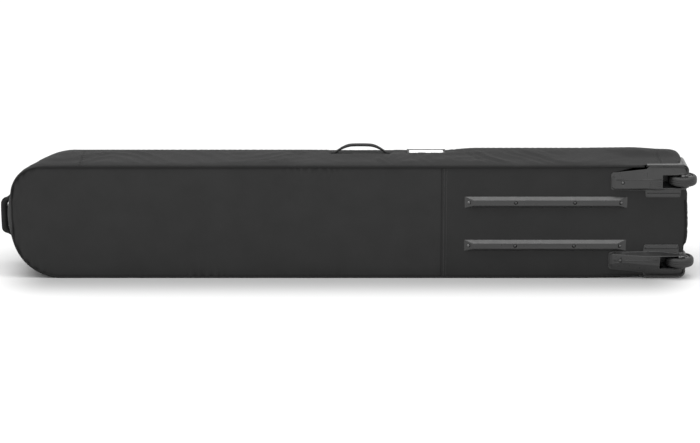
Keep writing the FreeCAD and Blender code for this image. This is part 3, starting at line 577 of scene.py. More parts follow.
def columns(x0, x1, inset, step):
    """Places across a panel from x0 to x1, closer together where the outline turns."""
    places = np.arange(x0, x1, step)
    if x0 < NOSE_X + NOSE_LOW_RADIUS:
        bend, start = LID_NOSE_TOP_RADIUS - inset, NOSE_X + inset
        turn = np.linspace(0, math.pi / 2, 40)
        straight = np.arange(start + bend + step, x1, step)
        places = np.concatenate([start + bend * (1 - np.cos(turn)), straight])
    if x1 > TAIL_X - TAIL_RADIUS:
        bend, end = TAIL_RADIUS - inset, TAIL_X - inset
        turn = np.linspace(math.pi / 2, 0, 10)
        return np.concatenate([places[places < end - bend - step / 2], end - bend * (1 - np.cos(turn))])
    return np.append(places[places < x1 - step / 3], x1)


def panel_grid(x0, x1, inset, rows, y, step=STEP):
    """Flat grid over the bag's side at depth y, with rows closer together at its long edges."""
    x = columns(x0, x1, inset, step)
    t = np.linspace(0, 1, rows)
    t = t - 0.35 * np.sin(2 * math.pi * t) / (2 * math.pi)
    z_low, z_high = edge_z(x, inset, y)
    return points_at(x[:, None], y, z_low[:, None] + (z_high - z_low)[:, None] * t)


def edge_distance(points, y):
    """How far each (x, y, z) point lies inside the bag's side outline at depth y."""
    loop = loop_at(y)
    near = []
    for part in np.array_split(points[:, [0, 2]], len(points) // 2000 + 1):
        best = ((part[:, None] - loop) ** 2).sum(2).argmin(1)
        near.append(-((part - loop[best]) * OUT[best]).sum(1))
    return np.maximum(np.concatenate(near), 0)


# ---------------- cloth that settles


def settle(obj, pinned, slack, pressure, furthest, bending, frames=16):
    """Simulates a cloth with spare length under pressure, and keeps the shape that it settles into.

    pinned is the share of each point that stays, and furthest limits how far any point moves.
    """
    group = obj.vertex_groups.new(name="pinned")
    for i in np.nonzero(pinned > 0)[0]:
        group.add([int(i)], float(pinned[i]), "REPLACE")
    cloth = obj.modifiers.new("cloth", "CLOTH")
    cloth.point_cache.frame_start, cloth.point_cache.frame_end = 1, frames
    s = cloth.settings
    s.quality, s.mass, s.air_damping = 6, 0.15, 3.0
    s.tension_stiffness = s.compression_stiffness = 18
    s.shear_stiffness, s.bending_stiffness = 6, bending
    s.tension_damping = s.compression_damping = s.shear_damping = 8
    s.bending_damping = 2
    s.vertex_group_mass = "pinned"
    s.shrink_min = -slack
    s.use_pressure, s.uniform_pressure_force = True, pressure
    s.effector_weights.gravity = 0.0
    for number in range(1, frames + 1):
        bpy.context.scene.frame_set(number)
    graph = bpy.context.evaluated_depsgraph_get()
    move = (coords(obj.evaluated_get(graph)) - coords(obj)).astype(np.float32)
    rest = coords(obj)
    obj.modifiers.clear()
    obj.vertex_groups.clear()
    size = np.linalg.norm(move, axis=1)
    move *= (furthest * np.tanh(size / furthest) / np.maximum(size, 1e-9))[:, None]
    obj.data.vertices.foreach_set("co", (rest + move).astype(np.float32).ravel())
    obj.data.update()
    bpy.context.scene.frame_set(1)


def coords(obj):
    flat = np.zeros(len(obj.data.vertices) * 3, np.float32)
    obj.data.vertices.foreach_get("co", flat)
    return flat.reshape(-1, 3).astype(float)


def flat_area(obj):
    return sum(p.area for p in obj.data.polygons)


def cut_size(obj):
    """Width, length and area of a panel's flat cut, from its mesh before it is thickened."""
    points = coords(obj)
    return float(np.ptp(points[:, 2])), float(np.ptp(points[:, 0])), flat_area(obj)


# ---------------- base and tail panels


def smooth_step(value, start, end):
    t = np.clip((value - start) / (end - start), 0, 1)
    return t * t * (3 - 2 * t)


def puckers(points, depth, seam_gap, pitch, seed):
    """Short folds that run away from a seam, seam_gap from each point, in patches along it."""
    patches = smooth_step(cloud_at(points * [1, 0, 0.3], 7, seed), -0.15, 0.45)
    drift = cloud_at(points * [1, 0, 1], 16, seed + 5) * 2.2
    fold = np.sin(points[:, 0] * 2 * math.pi / pitch + drift * 2)
    reach = np.exp(-seam_gap / (13 * MM)) * smooth_step(seam_gap, 0, 5 * MM)
    return depth * fold * reach * patches


def base_cloth():
    """Main fabric panel under the board, slightly crowned, with gathers along its sewn edge."""
    grid = panel_grid(NOSE_X + HEM, SEAM_X, HEM, rows=60, y=BASE_Y, step=4 * MM)
    points = grid.reshape(-1, 3)
    gap = edge_distance(points, BASE_Y)
    proud = 2.6 * MM * (1 - np.exp(-gap / (9 * MM)))
    proud += puckers(points, 3.4 * MM, gap, 19 * MM, 3)
    proud += 0.8 * MM * cloud_at(points, 6, 1) * smooth_step(gap, 0, 40 * MM)
    proud += 0.35 * MM * cloud_at(points, 26, 9) * smooth_step(gap, 0, 15 * MM)
    to_seam = SEAM_X - points[:, 0]
    proud *= smooth_step(to_seam, -30 * MM, 22 * MM)
    proud -= 1.2 * MM * np.exp(-((to_seam / (10 * MM)) ** 2))
    points[:, 1] = BASE_Y - proud
    return sheet_mesh("base_cloth", grid, FABRIC, -Y_AXIS)


def tail_cloth():
    """Tougher coated panel from the seam to the tail, flat where the rails and housings are screwed on."""
    grid = panel_grid(SEAM_X - OVERLAP, TAIL_X - HEM, HEM, rows=46, y=BASE_Y)
    points = grid.reshape(-1, 3)
    gap = edge_distance(points, BASE_Y)
    proud = 1.0 * MM * (1 - np.exp(-gap / (9 * MM)))
    proud += puckers(points, 0.5 * MM, gap, 21 * MM, 11) * (points[:, 0] < RISE_FROM_X)
    proud += 0.25 * MM * cloud_at(points, 5, 4) * smooth_step(gap, 0, 30 * MM)
    from_seam = points[:, 0] - SEAM_X
    proud += 0.9 * MM * np.exp(-((from_seam / (12 * MM)) ** 2))
    points[:, 1] = BASE_Y - proud
    points[:, 0] += tail_bulge(points[:, 0], BASE_Y, points[:, 2])
    return sheet_mesh(
        "tail_cloth", grid, TAIL_FABRIC, -Y_AXIS, keep=lambda middles: ~in_wells(middles, WELL_X, 20 * MM)
    )


def panels():
    """The base's two panels, and the double row of stitches beside the seam between them."""
    z = np.arange(4 * MM, WIDTH - 3 * MM, 2 * MM)
    rows = [(points_at(SEAM_X + past, BASE_Y - 1.75 * MM, z), -Y_AXIS) for past in (4 * MM, 10.5 * MM)]
    place(stitches("seam_stitches", rows, 4.6 * MM, 0.5 * MM), "base", "bag_fabric")
    for cloth, slot, node in (
        (base_cloth(), "bag_fabric", "base_panel"),
        (tail_cloth(), "tarp_fabric", "tail_panel"),
    ):
        width, length, area = cut_size(cloth)
        thicken(cloth, SKIN)
        place(cloth, "base", slot, node)


# ---------------- walls


def sewn_flat(points):
    """True where the label pocket, the handle's strip or an end handle's patch is sewn on the wall."""
    sewn = np.zeros(len(points), bool)
    for node, around in (
        ("label_pocket", SEWN_TOP),
        ("side_handle_base", SEWN_TOP),
        ("nose_handle_patch", SEWN_END),
        ("tail_handle_patch", SEWN_END),
    ):
        middle, half = middle_and_half(node)
        sewn |= (abs(points - middle) < half + around).all(1)
    return sewn


def edge_lift(x, upward):
    """How far the wadding lifts the upper wall's rim on the lid's side above the outline, at each x."""
    rise = smooth_step(x, 235 * MM, 330 * MM) * (1 - smooth_step(x, 710 * MM, 800 * MM))
    return EDGE_LIFT * rise * smooth_step(upward, 0.8, 1.0)


def nose_bulge(y, z, upright):
    """How far the nose's wall swells between the feet of its handle, at each point."""
    across = np.cos(np.clip(y / (LID_Y - 4 * MM), -1, 1) * math.pi / 2)
    along = np.exp(-(((z - NOSE_HANDLE_Z - 9 * MM) / (60 * MM)) ** 2))
    return NOSE_BULGE * across * along * smooth_step(upright, 0.2, 0.8)


def tail_bulge(x, y, z):
    """How far the tail stands out between its two wheel housings, and beyond them on the lid's side."""
    between = np.clip((z - LOWER_GUARD_Z) / (UPPER_GUARD_Z - LOWER_GUARD_Z), 0, 1)
    swell = TAIL_BULGE * (2.2 - 1.2 * between) * np.sin(between * math.pi) ** 0.3
    middle = swell * smooth_step(x, TAIL_X - 12 * MM, TAIL_X - 2 * MM)
    beyond = TAIL_LID_BULGE * smooth_step(x, TAIL_X - 60 * MM, TAIL_X - 6 * MM) * smooth_step(y, 0, 40 * MM)
    return np.maximum(middle, beyond)


def creases(points, out):
    """Folds across the walls, in metres outward: loose ones in places on the top, shallow ones elsewhere."""
    upward = np.clip(out[:, 2], 0, 1)
    across = points[:, 1] - BASE_Y
    edge = smooth_step(across, 0, 26 * MM) * smooth_step(LID_Y - points[:, 1], 4 * MM, 60 * MM)
    bent = points + np.stack([cloud_at(points, 7, k) for k in (3, 13, 23)], 1) * 45 * MM
    slant = bent * [1, 0, 0] + np.outer(bent[:, 1] * 0.9, X_AXIS)
    counter = bent * [1, 0, 0] - np.outer(bent[:, 1] * 1.6, X_AXIS)
    patches = smooth_step(cloud_at(points * [1, 0.4, 1], 5.5, 31), -0.1, 0.35)
    sharp_patches = smooth_step(cloud_at(points, 9, 51), 0, 0.3)
    broad = cloud_at(bent, 6, 2) * 2.4 * MM
    folds = patches * (1 - abs(cloud_at(slant, 17, 7)) * 3.4) * 1.9 * MM
    folds += (1 - patches) * (1 - abs(cloud_at(counter, 12, 17)) * 3.0) * 1.7 * MM
    folds += sharp_patches * (1 - abs(cloud_at(slant, 34, 27)) * 3.2) * 2.3 * MM
    fine = cloud_at(points * [1, 0.5, 1], 60, 5) * 0.35 * MM
    relief = upward * (broad + folds) + (1 - upward) * broad * 0.4 + fine
    return edge * np.where(relief > 0, relief, relief * 0.35)


def wall_grid():
    """The gusset round the bag as one strip of cloth that has settled with spare length: a grid of points."""
    front = LID_Y - 1 * MM
    depths = BASE_Y + (front - BASE_Y) * np.linspace(0, 1, WALL_ROWS)
    grid = np.stack([ring_points(0, y) for y in depths], 1)
    out = np.repeat(ring_out(), WALL_ROWS, 0)
    strip = sheet_mesh("wall_strip", grid, FABRIC, ring_out()[0], close_columns=True)
    rest = coords(strip)
    edge = np.minimum(rest[:, 1] - BASE_Y, front - rest[:, 1])
    flat_bottom = (rest[:, 2] < 12 * MM) & (rest[:, 0] > NOSE_X + NOSE_LOW_RADIUS * 0.8)
    sewn = sewn_flat(rest)
    pinned = np.where((edge < 1 * MM) | sewn, 1.0, np.where(flat_bottom, 0.6, 0.0))
    settle(strip, pinned, slack=0.014, pressure=400.0, furthest=5 * MM, bending=0.6)
    points = coords(strip)
    bpy.data.objects.remove(strip)
    inward = np.maximum(-((points - rest) * out).sum(1), 0)
    points += out * (inward - WADDING_GIVE * np.tanh(inward / WADDING_GIVE))[:, None]
    points += out * (creases(rest, out) * ~sewn)[:, None]
    belly = tail_bulge(*rest.T)
    points[:, 0] += belly
    points += out * nose_bulge(rest[:, 1], rest[:, 2], -out[:, 0])[:, None]
    share = smooth_step(rest[:, 1], BASE_Y + 30 * MM, LID_Y - 8 * MM)
    points[:, 2] += edge_lift(rest[:, 0], out[:, 2]) * share
    held = smooth_step(rest[:, 0], GUARD_X - 100 * MM, GUARD_X - 20 * MM)
    held *= smooth_step(-rest[:, 1], -35 * MM, 4 * MM)
    held[(rest[:, 0] > TAIL_X - 1 * MM) & (belly > 0)] = 0
    points += (rest - points) * held[:, None]
    points[:, 2] = np.maximum(points[:, 2], 0.4 * MM)
    return points.reshape(grid.shape)


def walls():
    """The strip cut at its four seams, with the wheels' wells left open."""
    grid = wall_grid()
    for number, name in enumerate(("nose", "top", "bottom", "tail")):
        def keep(p, number=number):
            straight = np.where(p[:, 2] > WIDTH / 2, 1, 2)
            gusset = np.where(p[:, 0] < NOSE_SEAM_X, 0, np.where(p[:, 0] < TAIL_SEAM_X, straight, 3))
            return (gusset == number) & ~in_wells(p, TAIL_X - 40 * MM, 22 * MM, -30 * MM)

        cloth = sheet_mesh(f"{name}_wall_cloth", grid, FABRIC, ring_out()[0], True, keep)
        thicken(cloth, SKIN)
        place(cloth, "base", "bag_fabric", f"{name}_gusset")
    rows = []
    for x in (NOSE_SEAM_X, TAIL_SEAM_X):
        for upper in (True, False):
            gaps = np.where((LOOP[:, 1] > WIDTH / 2) == upper, abs(LOOP[:, 0] - x), math.inf)
            seam = int(gaps.argmin())
            out = ring_out()[seam]
            rows += [(grid[(seam + shift) % len(LOOP)][1:-1] + out * 0.15 * MM, out) for shift in (-1, 1)]
    place(stitches("wall_seam_stitches", rows), "base", "bag_fabric")


# ---------------- piping


def cord_round(name, y, radius, keep=None):
    """Piping: round cord in a fabric sleeve, sewn along the outline."""
    wobble = 1 + 0.05 * cloud_at(ring_points(0, y), 40, 8)
    centres = ring_points(PIPING_INSET, y)
    centres[:, 1] += 0.25 * MM * cloud_at(centres, 12, 3)
    centres[:, 0] += tail_bulge(centres[:, 0], y, centres[:, 2])
    if y > 0:
        centres[:, 2] += edge_lift(centres[:, 0], OUT[:, 1])
    profile = round_profile(radius, 12)[None] * wobble[:, None, None]
    out = ring_out()
    if keep is None:
        return sweep(name, centres, out, Y_AXIS, profile, PIPING_VINYL, closed=True)
    order = in_order(keep(centres))
    runs = np.split(order, np.nonzero(np.diff(order) % len(LOOP) != 1)[0] + 1)
    tubes = [
        sweep(f"run_{n}", centres[run], out[run], Y_AXIS, profile[run], PIPING_VINYL)
        for n, run in enumerate(runs)
    ]
    return joined(name, tubes)


def piping():
    """Piping round both edges. The back one stops where the housings' guards cover the edge."""
    def clear_of_guards(p):
        beside_guard = (p[:, 2] > UPPER_GUARD_Z - 2 * MM) | (p[:, 2] < LOWER_GUARD_Z + 2 * MM)
        return (p[:, 0] < GUARD_X - 5 * MM) | ~beside_guard

    back = cord_round("back_piping_cord", BASE_Y - 2 * MM, 2.3 * MM, clear_of_guards)
    place(back, "base", "piping", "back_piping")
    front = cord_round("front_piping_cord", LID_Y + 0.3 * MM, 2.0 * MM)
    place(front, "base", "piping", "front_piping")


# ---------------- wheels, housings and rails


def lathe(name, profile, x, y, z, material, count=96):
    """Turns a closed profile of (radius, height) points round an upright line."""
    turn = np.arange(count) * 2 * math.pi / count
    radial = points_at(np.cos(turn), np.sin(turn), 0)
    return sweep(name, np.tile([x, y, z], (count, 1)), radial, Z_AXIS, profile, material, closed=True)


def tyre_profile():
    """Section of the tyre: round shoulders, a slightly crowned tread, and a lip at the hub."""
    turn = np.linspace(0.1, 1.45, 9)
    shoulder = np.stack([28 + 7.6 * np.sin(turn), 4.2 + 7.8 * np.cos(turn)], 1)
    lip = [(24, 9.2), (24.8, 11), (26.2, 12)]
    tread = [(35.9, 3.2), (35.2, 2.6), (35.2, 2.0), (36, 1.5)]
    half = np.vstack([lip, shoulder, tread]) * MM
    return np.vstack([half, half[::-1] * [1, -1]])


def housing_ribs(name, wheel_z, upward):
    """Moulded lines on the housing: four slim ribs beside the wheel's well, and a bead up the ramp."""
    front = low("upper_wheel_housing").y
    ribs = []
    for offset in (1.3 * MM, 5.5 * MM, 10.6 * MM, 15.5 * MM):
        z = wheel_z - upward * offset
        path = [(GUARD_X + 6 * MM, front + 2.5 * MM, z), (WELL_X - 1 * MM, front + 0.1 * MM, z)]
        ribs.append(sweep("rib", path, Z_AXIS, -Y_AXIS, round_profile(0.55 * MM, 8), PLASTIC))
    ramp = np.array([(-75, 10.4, 3.5), (0, 2.9, 5), (36, 0.1, 6.5)]) * MM + (GUARD_X, front, wheel_z)
    ribs.append(sweep("bead", ramp, Z_AXIS, -Y_AXIS, round_profile(1.3 * MM, 12), PLASTIC))
    place(joined(name, ribs), "base", "moulded")


def running_gear():
    """Wheels, their housings with ribs, and the skid rails."""
    wheels = (("upper", UPPER_WHEEL_Z, 1), ("lower", LOWER_WHEEL_Z, -1))
    for side, wheel_z, upward in wheels:
        housing_ribs(f"{side}_housing_ribs", wheel_z, upward)
    for side, wheel_z, _ in wheels:
        tyre = lathe(f"{side}_tyre_tread", tyre_profile(), WHEEL_X, WHEEL_Y, wheel_z, RUBBER)
        place(tyre, f"{side}_wheel", "tyre", f"{side}_tyre")
        for name, node, width in (
            ("housing_shell", "wheel_housing", 1.2 * MM),
            ("rail_runner", "skid_rail", 0.9 * MM),
        ):
            bevelled(f"{side}_{name}", f"{side}_{node}", "base", "moulded", width, PLASTIC, segments=3)
        paint(HUB_PLASTIC, f"{side}_hub")
        paint(STEEL, f"{side}_bearing_races", f"{side}_bearing_balls")


def paint(material, *parts):
    """Gives CAD parts their finish."""
    for part in parts:
        mesh = nodes[part].data
        mesh.materials.clear()
        mesh.materials.append(material)


# ---------------- lid and zip


def lid_pad():
    """The lid: crowned outer cloth over foam, with a lining inside, closed at its bound edge."""
    inset = LID_INSET + 0.2 * MM
    grid = panel_grid(NOSE_X + inset, TAIL_X - inset, inset, rows=40, y=LID_Y)
    flat = grid.reshape(-1, 3)
    count = len(flat)
    gap = np.maximum(edge_distance(flat, LID_Y) - inset, 0)
    outer, inner = flat.copy(), flat.copy()
    bulge = 5.5 * MM * (1 - np.exp(-gap / (22 * MM)))
    bulge += puckers(flat, 0.9 * MM, gap, 19 * MM, 31)
    bulge += 1.4 * MM * cloud_at(flat, 7, 12) * smooth_step(gap, 0, 45 * MM)
    bulge += 0.4 * MM * cloud_at(flat, 30, 15) * smooth_step(gap, 0, 15 * MM)
    waves = 0.8 * MM * cloud_at(flat, 10, 21) * smooth_step(gap, 0, 30 * MM)
    edge_thick = 3 * MM
    round_edge = edge_thick * np.sqrt(np.clip(gap / (4 * MM), 0, 1))
    outer[:, 1] = LID_Y - edge_thick + round_edge + bulge
    inner[:, 1] = LID_INNER_Y + edge_thick - round_edge - waves
    cloth = sheet_mesh("lid_outer", outer.reshape(grid.shape), FABRIC, Y_AXIS)
    pinned = np.where(gap < 1 * MM, 1.0, 0.0)
    settle(cloth, pinned, slack=0.010, pressure=250.0, furthest=4 * MM, bending=0.8)
    faces = grid_faces(*grid.shape[:2])
    index = np.arange(count).reshape(grid.shape[:2])
    border = np.concatenate([index[0, :], index[1:, -1], index[-1, -2::-1], index[-2:0:-1, 0]])
    band = [(a, b, b + count, a + count) for a, b in zip(border, np.roll(border, -1))]
    points = np.vstack([coords(cloth), inner])
    bpy.data.objects.remove(cloth)
    pad = new_mesh("lid_pad", points, [*faces, *(faces[:, ::-1] + count), *band], FABRIC)
    pad.data.materials.append(LINING_FABRIC)
    linings = [0] * len(faces) + [1] * len(faces) + [0] * len(band)
    pad.data.polygons.foreach_set("material_index", linings)
    closed_up(pad)
    place(pad, "lid", "bag_fabric", "lid_panel", "lid_foam", "lid_lining")
    row = ring_points(LID_INSET + 5 * MM, LID_Y + 2.4 * MM, FINE_LID_LOOP, FINE_OUT)
    place(stitches("lid_border_stitches", [(row, Y_AXIS)], 4.6 * MM), "lid", "bag_fabric")


def run_above(z, loop, out):
    """Points of the outline above z, in order from the tail round over the top to the nose."""
    order = in_order(loop[:, 1] > z)
    return loop[order], out[order]


def zip_chain(name, inset, toward, body, node):
    """One side of the zip: nylon coil with its turns standing towards the other side."""
    loop, out = run_above(ZIP_LOW_END + 1 * MM, FINE_LID_LOOP, FINE_OUT)
    centres = ring_points(inset, LID_Y - 1.2 * MM, loop, out)
    pitch = 3.2 * MM
    phase = math.pi if toward > 0 else 0
    tooth = 0.5 + 0.5 * np.cos(np.arange(len(loop)) * FINE_STEP * 2 * math.pi / pitch + phase)
    ring = round_profile(1.0, 8)
    profile = np.repeat(ring[None], len(loop), 0) * [1.0 * MM, 1.3 * MM]
    profile[..., 0] += toward * 0.55 * MM * (tooth[:, None] - 0.5) * (1 + toward * ring[:, 0])
    profile[..., 1] *= (0.72 + 0.28 * tooth)[:, None]
    place(sweep(name, centres, ring_out(out), Y_AXIS, profile, COIL), body, "zip_coil", node)


def tape(name, outer, inner, body, node, lifted=0.0):
    """Woven tape between two distances inside the outline, whose outer edge may follow the lifted rim."""
    y = LID_Y - 1.4 * MM
    loop, out = run_above(ZIP_LOW_END, LID_LOOP, OUT)
    swell = edge_lift(loop[:, 0], out[:, 1])
    swell += tail_bulge(loop[:, 0], y, loop[:, 1]) * np.maximum(out[:, 0], 0)
    outer = outer - lifted * swell
    centres = ring_points((outer + inner) / 2, y, loop, out)
    profiles = np.array([strap_profile(half, 0.9 * MM) for half in (inner - outer) / 2])
    place(sweep(name, centres, ring_out(out), Y_AXIS, profiles, TAPE), body, "zip_tape", node)


def zip_and_hinge():
    """Tape and coil on the bag and on the lid, two sliders with pulls, and the hinge."""
    tape("zip_tape_outer", 0.8 * MM, ZIP_LINE - 1.6 * MM, "base", "zip_tape_bag", lifted=1.0)
    tape("zip_tape_inner", ZIP_LINE + 1.6 * MM, LID_INSET + 1.5 * MM, "lid", "zip_tape_lid")
    zip_chain("zip_teeth_outer", ZIP_LINE - 1.0 * MM, -1, "base", "zip_coil_bag")
    zip_chain("zip_teeth_inner", ZIP_LINE + 1.0 * MM, 1, "lid", "zip_coil_lid")
    for number in (1, 2):
        for name, node, body, width in (
            ("slider_body", "zip_slider", "slider", 0.35 * MM),
            ("pull_tab", "zip_pull", "pull", 0.3 * MM),
        ):
            name, node, body = (f"{part}_{number}" for part in (name, node, body))
            bevelled(name, node, body, "zip_metal", width, GUNMETAL, shortest=1 * MM)
    paint(GUNMETAL, "zip_stops")
    hinge_strip()


def hinge_strip():
    """Fabric strip that joins the wall to the lid along the lower edge, where the lid folds down."""
    order = in_order(LID_LOOP[:, 1] <= ZIP_LOW_END + 2 * MM)
    insets = np.linspace(0.8 * MM, LID_INSET + 1 * MM, 8)
    lift = 0.5 * MM * np.sin(np.linspace(0, math.pi, 8))
    rows = [ring_points(i, LID_Y - 1.2 * MM + l, LID_LOOP[order], OUT[order]) for i, l in zip(insets, lift)]
    strip = sheet_mesh("lid_hinge_cloth", np.stack(rows, 1), FABRIC, Y_AXIS)
    thicken(strip, 0.8 * MM)
    place(strip, None, "bag_fabric", "lid_hinge_strip")
    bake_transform(strip)


# ---------------- inside


def floor_lining():
    """Padded lining on the floor, pressed down where the straps cross it."""
    inset = WALL_INNER - 0.6 * MM
    grid = panel_grid(NOSE_X + inset, TAIL_X - inset, inset, rows=34, y=FLOOR_Y)
    floor = grid.reshape(-1, 3)
    gap = np.maximum(edge_distance(floor, FLOOR_Y) - inset, 0)
    strap_gap = np.minimum(*(abs(floor[:, 0] - x) for x in STRAP_PLACES))
    waves = 0.9 * MM * cloud_at(floor, 8, 6) + 0.3 * MM * cloud_at(floor, 30, 2)
    waves *= smooth_step(strap_gap, 18 * MM, 60 * MM)
    floor[:, 1] = FLOOR_Y + waves + 2.5 * MM * np.exp(-gap / (7 * MM))
    cloth = sheet_mesh(
        "floor_lining", grid, LINING_FABRIC, Y_AXIS, keep=lambda p: ~in_wells(p, WELL_X - 3 * MM, 30 * MM)
    )
    width, length, area = cut_size(cloth)
    area = min(area, width * length)
    thicken(cloth, LINING)
    place(cloth, "base", "lining_fabric", "base_lining", "base_foam")


def wall_lining():
    """Closed padded band inside the wall, soft between its seams."""
    depth = np.linspace(0, 1, 14)
    y = FLOOR_Y - 0.5 * MM + (WALL_FRONT_Y - FLOOR_Y + 0.5 * MM) * depth
    between = np.sin(math.pi * depth)
    insets = WALL_INNER - 1.5 * MM + between**0.7 * 2.2 * MM
    inner = np.stack([ring_points(inset, v) for inset, v in zip(insets, y)], 1)
    waves = 1.1 * MM * cloud_at(inner.reshape(-1, 3), 9, 14).reshape(inner.shape[:2])
    inner -= ring_out()[:, None] * (between * waves)[..., None]
    outer = np.stack([ring_points(4 * MM, v) for v in y], 1)[:, ::-1]
    band = np.concatenate([inner, outer], 1)
    faces = grid_faces(*band.shape[:2], True, True)
    middles = band.reshape(-1, 3)[faces].mean(1)
    faces = faces[~in_wells(middles, WELL_X - 3 * MM, 30 * MM, -28 * MM)]
    pad = closed_up(new_mesh("wall_pad", band.reshape(-1, 3), faces, LINING_FABRIC))
    place(pad, "base", "lining_fabric", "gusset_lining", "gusset_foam")


def straps_and_buckles():
    """Two tie-down straps: each is sewn to the bag at both ends and meets in a side-release buckle."""
    strap_low, strap_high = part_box("tie_straps")
    socket_low, socket_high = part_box("buckle_sockets")
    y = (strap_low.y + socket_low.y) / 2
    in_socket, plug_end, sewn_end = socket_low.z + 24 * MM, socket_low.z + 40 * MM, strap_high.z
    straps = []
    for number, x in enumerate(STRAP_PLACES, 1):
        body, plug_node = f"buckle_{number}", f"buckle_plug_{number}"
        sewn = points_at(x, y, np.linspace(strap_low.z, in_socket, 5))
        straps.append(webbing("strap", sewn, STRAP_HALF_WIDTH, STRAP_THICK, X_AXIS))
        lift = 1.2 * MM * np.sin(np.linspace(0, math.pi, 9))
        line = points_at(x, y + lift, np.linspace(plug_end, sewn_end, 9))
        loose = webbing(f"tie_strap_end_{number}", line, STRAP_HALF_WIDTH, STRAP_THICK, X_AXIS)
        place(loose, None, "webbing")
        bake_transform(loose)
        bevelled(f"buckle_prongs_{number}", plug_node, body, "buckle", 0.7 * MM, BUCKLE_PLASTIC)
        bar_y, bar_z = (socket_low.y + socket_high.y) / 2, high(plug_node).z - 2 * MM
        turn = np.linspace(0.2, 2 * math.pi - 0.2, 14)
        round_bar = points_at(x, bar_y + 4.4 * MM * np.sin(turn), bar_z + 3.6 * MM * np.cos(turn))
        wrap = webbing(f"buckle_wrap_{number}", round_bar, 11.5 * MM, 1.4 * MM, X_AXIS, step=1.5 * MM)
        place(wrap, body, "webbing")
    place(joined("tie_strap_webbing", straps), "base", "webbing", "tie_straps")
    bevelled("buckle_shells", "buckle_sockets", "base", "buckle", 0.8 * MM, BUCKLE_PLASTIC)


# ---------------- handles and label


def side_handle():
    """Webbing arch on the upper wall, on a strip that is sewn down at both ends of it."""
    (x, y, _), (strip_half, _, _) = middle_and_half("side_handle_base")
    _, (half, wide, _) = middle_and_half("side_handle")
    z0 = WIDTH + 1.2 * MM
    rise = high("side_handle").z - SIDE_WEBBING_THICK / 2 - 1.2 * MM - z0
    side = [
        (-half - 10 * MM, 0.0, wide * 0.8),
        (-half - 1 * MM, 0.08, wide * 0.75),
        (-half + 8 * MM, 0.36, wide * 0.6),
        (-half + 17 * MM, 0.63, wide * 0.8),
        (-half + 29 * MM, 0.88, wide),
        (-half + 44 * MM, 1.0, wide),
    ]
    stations = side + [(-t, r, w) for t, r, w in reversed(side)]
    path = [(x + t, y, z0 + 1.2 * MM + rise * r, w) for t, r, w in stations]
    arch = webbing("side_handle_webbing", path, wide, SIDE_WEBBING_THICK, step=1.5 * MM)
    place(arch, None, "webbing", "side_handle")
    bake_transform(arch)
    along = np.linspace(-1, 1, 25)
    aside = 3 * MM * np.maximum(0, 1 - (along / 0.3) ** 2)
    line = points_at(x + along * strip_half, y - aside, z0 + 0.9 * MM)
    place(webbing("side_handle_strip", line, wide, 2.2 * MM), "base", "webbing", "side_handle_base")
    across = np.arange(y - wide * 0.7, y + wide * 0.7, 1 * MM)
    rows = [
        (points_at(x + end * (half + 5 * MM) + dx, across, z0 + 4.2 * MM), Z_AXIS)
        for end in (-1, 1)
        for dx in np.linspace(-4, 4, 4) * MM
    ]
    place(stitches("side_handle_stitches", rows, 2.6 * MM), "base", "webbing")


def end_handle(name, face_x, out, patch, node, wide, thickness, grip):
    """Webbing loop on the nose or the tail, folded to the thickness grip in its middle, on a sewn patch."""
    handle_low, handle_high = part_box(node)
    patch_low, patch_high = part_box(patch)
    far_x = handle_low.x if out < 0 else handle_high.x
    reach = abs(far_x - face_x) - grip / 2
    z0, z1 = handle_low.z, handle_high.z
    middle_z = (z0 + z1) / 2
    swell = float(nose_bulge(0.0, middle_z, -out) + tail_bulge(out * face_x, 0.0, middle_z) * (out > 0))
    half_path = [
        (z0 - 10 * MM, swell * 0.45, wide * 0.8, thickness * 2),
        (z0 - 3 * MM, 2.5 * MM + swell * 0.5, wide * 0.8, thickness * 2),
        (z0 + 5 * MM, reach * 0.62, wide * 0.85, (thickness + grip) / 2),
        (z0 + 12 * MM, reach * 0.9, wide * 0.95, grip),
        (z0 + 22 * MM, reach, wide, grip),
    ]
    stations = half_path + [(z0 + z1 - z, *rest) for z, *rest in reversed(half_path)]
    near = abs(LOOP[:, 0] - face_x) < 60 * MM
    wall = ring_points(0, 0.0)[near]
    wall = wall[np.argsort(wall[:, 2])]
    path = []
    for z, r, w, t in stations:
        set_back = np.interp(z, wall[:, 2], wall[:, 0]) - face_x
        path.append((face_x + out * r + set_back * max(0, 1 - r / reach), 0, z, w, t))
    loop = webbing(f"{name}_webbing", path, wide, thickness, step=1.5 * MM)
    place(loop, None, "webbing", node)
    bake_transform(loop)
    wanted = near & (LOOP[:, 1] > patch_low.z) & (LOOP[:, 1] < patch_high.z)
    points, outs = ring_points(-1.0 * MM, 0.0)[wanted], ring_out()[wanted]
    points += outs * nose_bulge(points[:, 1], points[:, 2], -outs[:, 0])[:, None]
    points[:, 0] += tail_bulge(*points.T)
    half_width = (patch_high.y - patch_low.y) / 2
    profile = strap_profile(half_width, 2.0 * MM)
    cover = sweep(f"{name}_patch_cloth", points, Y_AXIS, outs, profile, PATCH_FABRIC)
    place(cover, "base", "tarp_fabric", patch)
    rows = [(points + outs * 1.1 * MM + Y_AXIS * side * (half_width - 3 * MM), outs) for side in (-1, 1)]
    place(stitches(f"{name}_patch_stitches", rows), "base", "tarp_fabric")


